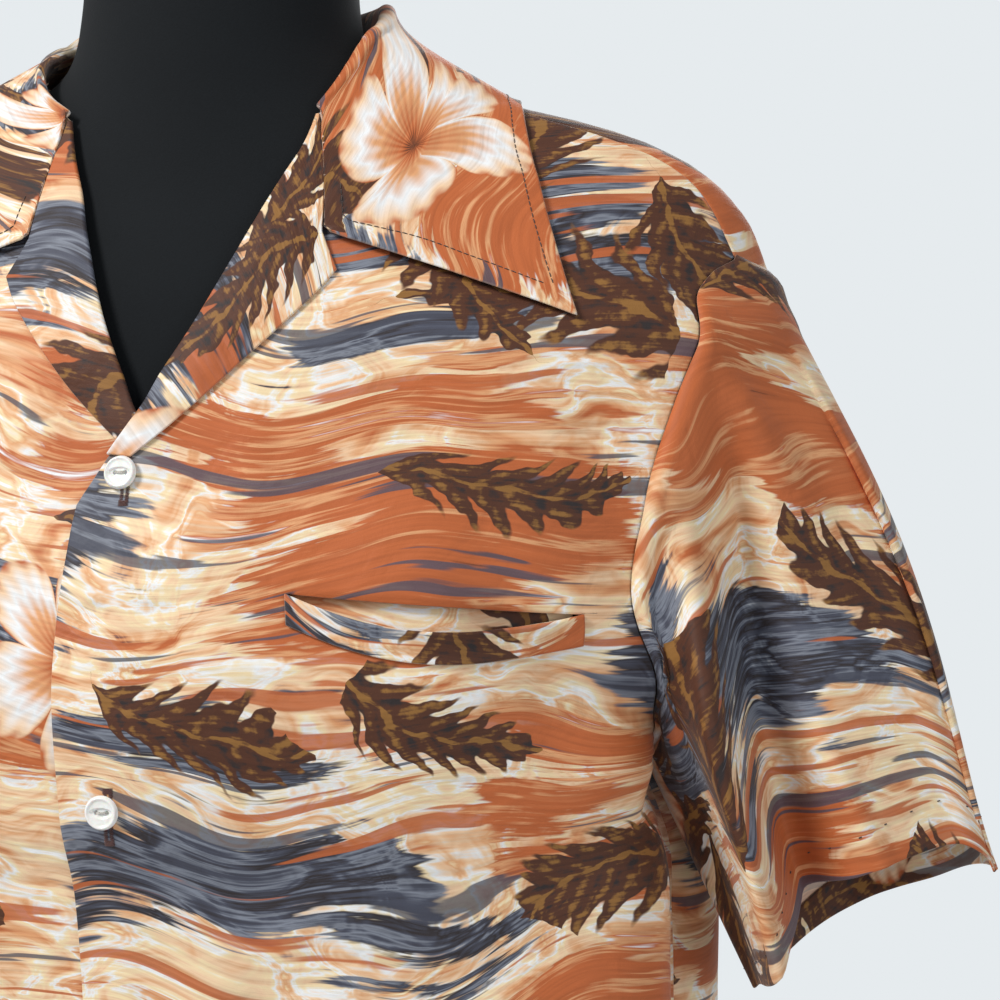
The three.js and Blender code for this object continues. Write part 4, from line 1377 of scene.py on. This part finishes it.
def pocket_welt():
    """The strip under the pocket's mouth, which gapes a little."""
    share = edged(90)
    up = np.concatenate([np.linspace(0, 1, 16), [1, 1, 1]])[:, None]
    lip = np.concatenate([np.full(16, 0), [0.35, 0.7, 1]])[:, None]
    height = mouth_lip(share) - POCKET["welt"] * (1 - up) - 0.4 * lip ** 2
    gape = POCKET["gape"] * up ** 2 * swell(share)
    off = LAID_ON + CLOTH / 2 + gape - 1.3 * lip
    middle = off_cloth(height, pocket_angle(share), off)
    cut = cut_map(middle)
    cloth_piece("pocket_welt", middle, WELT_SHELL, cut)


def pocket_bag():
    """One folded wall: down the back of the bag, round its bottom and up to the welt."""
    down = np.concatenate([
        np.linspace(0, 0.1, 12),
        np.linspace(0.13, 0.97, 24),
        1 - BAG_TURN * np.linspace(1, 0, 6) ** 2,
    ])
    front_down = np.concatenate([
        1 - BAG_TURN * np.linspace(0.1, 1, 5) ** 2,
        np.linspace(0.95, 0.06, 24),
    ])
    behind = np.concatenate([np.ones(len(down)), np.zeros(len(front_down))])[:, None]
    down = np.concatenate([down, front_down])[:, None]
    share = edged(60, 0.01)
    top = np.where(behind > 0, mouth_top(share) + 1, mouth_lip(share) - 1)
    height = mix(top, pocket_line(share) - POCKET["deep"], down)
    round_ = np.sqrt(np.clip((1 - down) / BAG_TURN, 0, 1))
    opened = smooth((down - 0.08) / 0.3) * mix(1, 0.4, down)
    room = (CLOTH + 0.5 + POCKET["hollow"] * swell(share) ** 0.6 * opened) * round_
    clear = mix(SEAM_GAP, POCKET["slack"], smooth((down - 0.08) / 0.2))
    front = (CLOTH + 0.5) * (1 - round_) / 2
    inward = clear + CLOTH / 2 + np.where(behind > 0, room, front)
    degrees = mix(POCKET["from"] + 0.6, POCKET["to"] - 0.6, share)
    middle = off_cloth(height, np.broadcast_to(degrees, height.shape), -inward)[:, ::-1]
    cut = cut_map(middle) * (1, -1)
    cloth_piece("pocket_bag", middle, SHELL, cut)


# Buttons
BUTTON_RADIUS = 6
BUTTON_THICKNESS = 2.6
BUTTON_HOLE_REACH = 1.9
BUTTONHOLE_LENGTH = 17
BUTTONHOLE_SHIFT = (1.6, -1.8)
BUTTON_HOLE_RADIUS = 0.75
BUTTON_HOLE_DEPTH = 1.3
BUTTON_UNDERSIDE = [(0.02, 0), (2.5, 0), (4.7, 0.05), (5.5, 0.3), (5.9, 0.7), (BUTTON_RADIUS, 1.2)]


def button_place(height):
    """Where a button sits: its own axes, and the point at its underside."""
    side = unit(on_cloth(height, 3) - on_cloth(height, -3))
    along = on_cloth(height + BUTTON_RADIUS, 0) - on_cloth(height - BUTTON_RADIUS, 0)
    normal = unit(np.cross(side, along))
    up = np.cross(normal, side)
    return side, up, normal, on_cloth(height, 0) + normal * (LAID_ON + SEAM_GAP)


def button(number, height):
    """A rimmed disc with a lens-shaped hollow and two holes."""
    side, up, normal, foot = button_place(height)
    turn = full_turn(96)
    radii = np.concatenate([np.linspace(0.02, 4.2, 44), np.linspace(4.3, BUTTON_RADIUS, 18)])[:, None]
    x = radii * np.cos(turn)
    y = radii * np.sin(turn)
    rim = bell(radii - 5.05, 0.62) * 0.5
    edge = 0.75 * np.clip((radii - 5.2) / 0.8, 0, 1) ** 2.2
    lens = 1 - (x / 3.9) ** 2 - (y / 1.75) ** 2
    hollow = 0.75 * smooth(lens * 1.6 + 0.35) * smooth(lens + 0.75)
    holes = np.hypot(abs(x) - BUTTON_HOLE_REACH, y)
    sunk = BUTTON_HOLE_DEPTH * smooth((BUTTON_HOLE_RADIUS + 0.12 - holes) / 0.24)
    top = BUTTON_THICKNESS - 0.5 + rim - edge - hollow - sunk
    face = np.stack([x, y, top], axis=-1)[::-1]
    points = np.concatenate([turned_rings(BUTTON_UNDERSIDE), face])
    placed = foot + points @ np.stack([side, up, normal])
    piece = ring_mesh(f"button_{number}_resin", placed, finish("button_white", button_white))
    declare(piece, f"button_{number}")


def buttonhole(number, height):
    """Two rows of close zigzag stitches and a bar at each end, behind each button."""
    rows = np.arange(-BUTTONHOLE_LENGTH / 2, BUTTONHOLE_LENGTH / 2, 0.5)
    starts = []
    ends = []
    for way in (-1, 1):
        jog = 0.12 * np.sin(rows * 9.1 + way)
        starts.append(np.stack([way * 0.25 + 0 * rows, rows], axis=-1))
        ends.append(np.stack([way * (1.75 + jog), rows + 0.25], axis=-1))
    for end in (-1, 1):
        bar = np.linspace(0, 1.6, 5)
        z = end * (BUTTONHOLE_LENGTH / 2 + bar - 0.4)
        starts.append(np.stack([-1.9 + 0 * bar, z], axis=-1))
        ends.append(np.stack([1.9 + 0 * bar, z + 0.15], axis=-1))
    starts = np.concatenate(starts) + BUTTONHOLE_SHIFT
    ends = np.concatenate(ends) + BUTTONHOLE_SHIFT
    reach = math.degrees(1 / cloth_radius(height, 0))

    def lie(flat):
        return off_cloth(height + flat[:, 1], flat[:, 0] * reach, SHELL_FACE + 0.05)

    ups = cloth_normal(height + starts[:, 1], starts[:, 0] * reach)
    name = f"buttonhole_{number}_stitching"
    stitches(name, lie(starts), lie(ends), ups, 0.2, 0.14, "hole_thread")


def button_thread(number, height):
    """Three strands between the two holes of a button."""
    side, up, normal, foot = button_place(height)
    top = foot + normal * (BUTTON_THICKNESS - BUTTON_HOLE_DEPTH)
    slips = np.array([-0.25, 0.25, 0.0])[:, None] * up
    starts = top + side * -BUTTON_HOLE_REACH + slips
    ends = top + side * BUTTON_HOLE_REACH + slips
    ups = np.broadcast_to(normal, starts.shape)
    name = f"button_{number}_thread"
    stitches(name, starts, ends, ups, 0.22, 0.55, "button_thread")


# Topstitching
def sew(name, path, normals, tone="seam_thread"):
    """A run of stitches that lies on a path of surface points."""
    sizes = bpy.context.scene.shirt_sewing
    starts, ends, ups = running_stitches(path, normals, sizes.stitch / MM, sizes.gap / MM)
    stitches(name, starts, ends, ups, sizes.thread / MM / 2, 0.14, tone)


def inset_path(surface, normals, distance, from_end=True):
    """The points of each row that lie this far in from its last point."""
    run = run_lengths(surface, 1)
    place = run[:, -1:] - distance if from_end else np.full_like(run[:, :1], distance)
    path = []
    ways = []
    for row, lengths, spot, normal in zip(surface, run, place, normals):
        path.append([np.interp(spot[0], lengths, row[:, k]) for k in range(3)])
        ways.append([np.interp(spot[0], lengths, normal[:, k]) for k in range(3)])
    return np.array(path), np.array(ways)


COLLAR_EDGE_SEAM = 5.5
COLLAR_END_SEAM = 9


def collar_stitching(middle):
    """One dark row just inside the collar's edge and along both front ends."""
    normals = grid_normals(middle)
    surface = middle + normals * (COLLAR_SHELL / 2 + 0.05)
    outer, outer_ways = inset_path(surface, normals, COLLAR_EDGE_SEAM)
    span = run_lengths(outer[None], 1)[0]
    inside = (span > 9.5) & (span < span[-1] - 9.5)
    sew("collar_edge_stitching", outer[inside], outer_ways[inside], "collar_thread")
    for name, way in (("left", -1), ("right", 1)):
        leaf = surface[::way][:60].transpose(1, 0, 2)
        leaf_normals = normals[::way][:60].transpose(1, 0, 2)
        line, line_ways = inset_path(leaf, leaf_normals, COLLAR_END_SEAM, from_end=False)
        run = run_lengths(line[None], 1)[0]
        keep = (np.arange(len(line)) > 30) & (run[-1] - run > COLLAR_EDGE_SEAM)
        sew(f"collar_end_stitching_{name}", line[keep], line_ways[keep], "collar_thread")


def sleeve_hem_stitching(side, base, normals):
    """Small pricks of blind-hem thread, widely spaced, above the turned-up hem."""
    surface = base + normals * (SHELL_FACE + 0.05)
    row = -SLEEVE_HEM_ROWS
    starts, ends, ups = running_stitches(surface[row], normals[row], 1.3, 11.4)
    name = f"{SIDES[side]}_sleeve_hem_stitching"
    stitches(name, starts, ends, ups, 0.28, 0.12, "hem_thread")


def body_hem_stitching(name, degrees, sink=0):
    """One row of stitches round a panel, near the top of its turned-up hem."""
    height = HEM_HEIGHT + HEM_ALLOWANCE - 2
    points = off_cloth(height, degrees, SHELL_FACE + 0.04 - sink)
    sew(f"{name}_hem_stitching", points, cloth_normal(height, degrees))


# The dress form and its stand
FORM_ROUNDING = 6
FORM_SEGMENTS = 180
FORM_RINGS = 200


def form_torso():
    """The dress form in its knitted cover, closed at its neck and its foot."""
    turn = np.linspace(0, 360, FORM_SEGMENTS, endpoint=False)
    arcs = np.radians(np.linspace(0, 90, 7))
    bends = [(FORM_ROUNDING * (1 - math.sin(a)), FORM_ROUNDING * (1 - math.cos(a))) for a in arcs]
    plain = 1.5 * FORM_ROUNDING
    levels = [(FORM_BOTTOM + rise, inset) for rise, inset in reversed(bends)]
    levels += [(h, 0) for h in np.linspace(FORM_BOTTOM + plain, FORM_TOP - plain, FORM_RINGS)]
    levels += [(FORM_TOP - rise, inset) for rise, inset in bends]
    side = np.stack([polar(h, turn, form_radius(h, turn) - inset) for h, inset in levels])
    shares = np.array([0.001, 0.5, 0.97])[:, None, None]
    bottom, top = (mix(ring.mean(axis=0), ring, shares) for ring in (side[0], side[-1]))
    skin = np.concatenate([bottom, side, top[::-1]])
    piece = ring_mesh("form_cover", skin, finish("black_knit", form_cover))
    declare(piece, "form_torso")


def rounded_profile(radius, low, high, rounding, start=0.3):
    """A turned profile with rounded edges, from its lower middle to its upper middle."""
    arc = np.radians(np.linspace(0, 90, 9))
    bends = [(rounding * (1 - math.sin(a)), rounding * (1 - math.cos(a))) for a in arc]
    profile = [(start, low)]
    profile += [(radius - inset, low + rise) for inset, rise in bends]
    profile += [(radius - inset, high - rise) for rise, inset in bends]
    return profile + [(start, high)]


def stand():
    """The pole and the round base."""
    top = FORM_BOTTOM - SEAM_GAP
    profiles = {
        "pole": (rounded_profile(POLE_RADIUS, BASE_THICKNESS + SEAM_GAP, top, 0.8), 96),
        "base": (rounded_profile(BASE_RADIUS, 0, BASE_THICKNESS, 3.5), 160),
    }
    for name, (profile, segments) in profiles.items():
        rings = turned_rings(profile, segments)
        piece = ring_mesh(name, rings, finish("satin_steel", stand_metal))
        declare(piece, f"stand_{name}")


# Stage
PHOTO_AZIMUTH = 12
PHOTO_CAMERA = (0.2664, -0.7203, 0.668)
PHOTO_LENS = 68.4
AIM = Vector((0.06, -0.02, 0.66))
LAMPS = [
    ("key", (-1.35, -1.75, 2.3), 0.9, (1.0, 0.985, 0.96)),
    ("fill", (2.0, -1.8, 0.9), 1.6, (0.95, 0.975, 1.0)),
    ("back", (0.3, 2.2, 2.0), 1.4, (0.97, 0.985, 1.0)),
]
FLOOR_DROP = -0.0005
FLOOR_RINGS = [(1400, 0), (900, 0), (500, 0), (200, 0), (20, 0)]


def camera():
    data = bpy.data.cameras.new("photo_camera")
    data.lens = PHOTO_LENS
    data.sensor_width = 36
    data.clip_start = 0.05
    eye = bpy.data.objects.new("photo_camera", data)
    eye.location = PHOTO_CAMERA
    eye.rotation_euler = (math.radians(90), 0, math.radians(PHOTO_AZIMUTH))
    bpy.context.scene.collection.objects.link(eye)
    bpy.context.scene.camera = eye


def lamp(name, place, size, power, tint):
    data = bpy.data.lights.new(name, "AREA")
    data.shape = "DISK"
    data.size = size
    data.energy = power
    data.color = tint
    light = bpy.data.objects.new(name, data)
    light.location = place
    light.rotation_euler = (AIM - Vector(place)).to_track_quat("-Z", "Y").to_euler()
    bpy.context.scene.collection.objects.link(light)


def lights():
    stage = bpy.context.scene.shirt_stage
    for name, place, size, tint in LAMPS:
        lamp(f"{name}_lamp", place, size, getattr(stage, f"{name}_power"), tint)


def sky():
    stage = bpy.context.scene.shirt_stage
    world = bpy.data.worlds.new("pale_studio")
    world.use_nodes = True
    nodes = world.node_tree.nodes
    links = world.node_tree.links
    seen = nodes["Background"]
    seen.inputs["Color"].default_value = (*stage.backdrop, 1)
    lit = nodes.new("ShaderNodeBackground")
    lit.inputs["Color"].default_value = (0.93, 0.97, 1.0, 1)
    lit.inputs["Strength"].default_value = stage.sky_light
    ray = nodes.new("ShaderNodeLightPath")
    either = nodes.new("ShaderNodeMixShader")
    links.new(ray.outputs["Is Camera Ray"], either.inputs[0])
    links.new(lit.outputs[0], either.inputs[1])
    links.new(seen.outputs[0], either.inputs[2])
    links.new(either.outputs[0], nodes["World Output"].inputs["Surface"])
    bpy.context.scene.world = world


def floor():
    disc = ring_mesh("floor", turned_rings(FLOOR_RINGS), finish("floor_paper", floor_paper))
    disc.location.z = FLOOR_DROP


# Sizes and colours that a user may change
class PrintColours(bpy.types.PropertyGroup):
    """Colours of the print."""

    rust: bpy.props.FloatVectorProperty(
        name="Rust", description="Broad brushed bands", subtype="COLOR", default=(0.50, 0.125, 0.035)
    )
    peach: bpy.props.FloatVectorProperty(
        name="Peach", description="Edges of the bands", subtype="COLOR", default=(0.72, 0.36, 0.17)
    )
    pale: bpy.props.FloatVectorProperty(
        name="Pale peach", description="The wash's main tone", subtype="COLOR",
        default=(0.84, 0.58, 0.37)
    )
    cream: bpy.props.FloatVectorProperty(
        name="Cream", description="Yellower patches of the wash", subtype="COLOR",
        default=(0.86, 0.69, 0.42)
    )
    white: bpy.props.FloatVectorProperty(
        name="White", description="Bare strokes", subtype="COLOR", default=(0.82, 0.84, 0.86)
    )
    slate: bpy.props.FloatVectorProperty(
        name="Slate", description="Cool bands", subtype="COLOR", default=(0.065, 0.070, 0.10)
    )
    grey: bpy.props.FloatVectorProperty(
        name="Grey", description="Lighter strokes in the cool bands", subtype="COLOR",
        default=(0.22, 0.24, 0.29)
    )
    dark: bpy.props.FloatVectorProperty(
        name="Dark", description="Deepest strokes", subtype="COLOR", default=(0.028, 0.020, 0.020)
    )
    brown: bpy.props.FloatVectorProperty(
        name="Brown", description="Leaves", subtype="COLOR", default=(0.085, 0.028, 0.013)
    )
    gold: bpy.props.FloatVectorProperty(
        name="Golden brown", description="Lit edges of the leaves", subtype="COLOR",
        default=(0.27, 0.125, 0.03)
    )


class ThreadColours(bpy.types.PropertyGroup):
    """Colours of the sewing threads."""

    seam: bpy.props.FloatVectorProperty(
        name="Seams", description="Thread of the hems", subtype="COLOR", default=(0.30, 0.16, 0.09)
    )
    collar: bpy.props.FloatVectorProperty(
        name="Collar", description="Thread round the collar", subtype="COLOR",
        default=(0.055, 0.030, 0.022)
    )
    hole: bpy.props.FloatVectorProperty(
        name="Buttonholes", description="Thread of the buttonholes", subtype="COLOR",
        default=(0.10, 0.025, 0.018)
    )
    button: bpy.props.FloatVectorProperty(
        name="Buttons", description="Thread through the buttons", subtype="COLOR",
        default=(0.62, 0.58, 0.52)
    )
    hem: bpy.props.FloatVectorProperty(
        name="Blind hem", description="Pricks above the sleeve hems", subtype="COLOR",
        default=(0.06, 0.035, 0.028)
    )


class SewingSizes(bpy.types.PropertyGroup):
    """Sizes of the stitches."""

    stitch: bpy.props.FloatProperty(
        name="Stitch", description="Length of one stitch", default=0.0021, unit="LENGTH"
    )
    gap: bpy.props.FloatProperty(
        name="Gap", description="Space between two stitches", default=0.0005, unit="LENGTH"
    )
    thread: bpy.props.FloatProperty(
        name="Thread", description="Thickness of the thread", default=0.0004, unit="LENGTH"
    )


class StageLight(bpy.types.PropertyGroup):
    """Light and backdrop."""

    key_power: bpy.props.FloatProperty(
        name="Key", description="Soft lamp from above at the left", default=66, unit="POWER"
    )
    fill_power: bpy.props.FloatProperty(
        name="Fill", description="Broad lamp from the right", default=14, unit="POWER"
    )
    back_power: bpy.props.FloatProperty(
        name="Back", description="Lamp from behind", default=26, unit="POWER"
    )
    sky_light: bpy.props.FloatProperty(
        name="Sky", description="Even light from all round", default=0.40, min=0
    )
    backdrop: bpy.props.FloatVectorProperty(
        name="Backdrop", description="Plain backdrop", subtype="COLOR", default=(0.791, 0.831, 0.855)
    )


# One operator for each piece or group of like pieces
class SHIRT_OT_stage(bpy.types.Operator):
    """Set up the camera, the soft light, the backdrop and the floor"""

    bl_idname = "shirt.stage"
    bl_label = "Stage"

    def execute(self, context):
        context.scene.view_settings.view_transform = "Standard"
        camera()
        lights()
        sky()
        floor()
        return {"FINISHED"}


class SHIRT_OT_form(bpy.types.Operator):
    """Cover the dress form and paint its stand"""

    bl_idname = "shirt.form"
    bl_label = "Dress form"

    def execute(self, context):
        form_torso()
        stand()
        return {"FINISHED"}


class SHIRT_OT_fronts(bpy.types.Operator):
    """Hang both fronts and sew their hems"""

    bl_idname = "shirt.fronts"
    bl_label = "Fronts"

    def execute(self, context):
        for side, name in SIDES.items():
            front_panel(side)
            degrees = side * np.linspace(PLACKET_DEGREES + 0.5, 89, 300)
            sink = underlap(HEM_HEIGHT, abs(degrees)) if side < 0 else 0
            body_hem_stitching(f"{name}_front", degrees, sink)
        return {"FINISHED"}


class SHIRT_OT_back(bpy.types.Operator):
    """Hang the back and sew its hem"""

    bl_idname = "shirt.back"
    bl_label = "Back"

    def execute(self, context):
        back_panel()
        body_hem_stitching("back", np.linspace(91, 269, 500))
        return {"FINISHED"}


class SHIRT_OT_sleeves(bpy.types.Operator):
    """Hang both sleeves, with their hems turned up and pricked"""

    bl_idname = "shirt.sleeves"
    bl_label = "Sleeves"

    def execute(self, context):
        for side in SIDES:
            base, normals = sleeve(side)
            sleeve_hem_stitching(side, base, normals)
        return {"FINISHED"}


class SHIRT_OT_collar(bpy.types.Operator):
    """Fold the collar over and topstitch it"""

    bl_idname = "shirt.collar"
    bl_label = "Collar"

    def execute(self, context):
        collar_stitching(collar())
        return {"FINISHED"}


class SHIRT_OT_lapels(bpy.types.Operator):
    """Turn both lapels back"""

    bl_idname = "shirt.lapels"
    bl_label = "Lapels"

    def execute(self, context):
        for side in SIDES:
            lapel(side)
        return {"FINISHED"}


class SHIRT_OT_pocket(bpy.types.Operator):
    """Sew in the chest pocket, its welt and its bag"""

    bl_idname = "shirt.pocket"
    bl_label = "Chest pocket"

    def execute(self, context):
        pocket_welt()
        pocket_bag()
        return {"FINISHED"}


class SHIRT_OT_buttons(bpy.types.Operator):
    """Sew on the buttons and work their buttonholes"""

    bl_idname = "shirt.buttons"
    bl_label = "Buttons"

    def execute(self, context):
        for number, height in enumerate(BUTTON_HEIGHTS, start=1):
            button(number, height)
            button_thread(number, height)
            buttonhole(number, height)
        return {"FINISHED"}


class SHIRT_PT_panel(bpy.types.Panel):
    """Lists the sizes, the colours and the pieces"""

    bl_idname = "SHIRT_PT_panel"
    bl_label = "Shirt on a dress form"
    bl_space_type = "VIEW_3D"
    bl_region_type = "UI"
    bl_category = "Shirt"

    def draw(self, context):
        for group in GROUPS:
            settings = getattr(context.scene, group)
            column = self.layout.column(align=True)
            for name in settings.__annotations__:
                column.prop(settings, name)
        for piece in OPERATORS:
            self.layout.operator(piece.bl_idname)


GROUPS = {
    "shirt_print": PrintColours,
    "shirt_threads": ThreadColours,
    "shirt_sewing": SewingSizes,
    "shirt_stage": StageLight,
}
OPERATORS = [
    SHIRT_OT_stage,
    SHIRT_OT_form,
    SHIRT_OT_fronts,
    SHIRT_OT_back,
    SHIRT_OT_sleeves,
    SHIRT_OT_collar,
    SHIRT_OT_lapels,
    SHIRT_OT_pocket,
    SHIRT_OT_buttons,
]


def register():
    for kind in [*GROUPS.values(), *OPERATORS, SHIRT_PT_panel]:
        bpy.utils.register_class(kind)
    for name, group in GROUPS.items():
        setattr(bpy.types.Scene, name, bpy.props.PointerProperty(type=group))


def unregister():
    for name in GROUPS:
        delattr(bpy.types.Scene, name)
    for kind in reversed([*GROUPS.values(), *OPERATORS, SHIRT_PT_panel]):
        bpy.utils.unregister_class(kind)


def main():
    register()
    for piece in OPERATORS:
        getattr(bpy.ops.shirt, piece.bl_idname.split(".")[1])()
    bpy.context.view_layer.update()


if __name__ == "__main__":
    main()
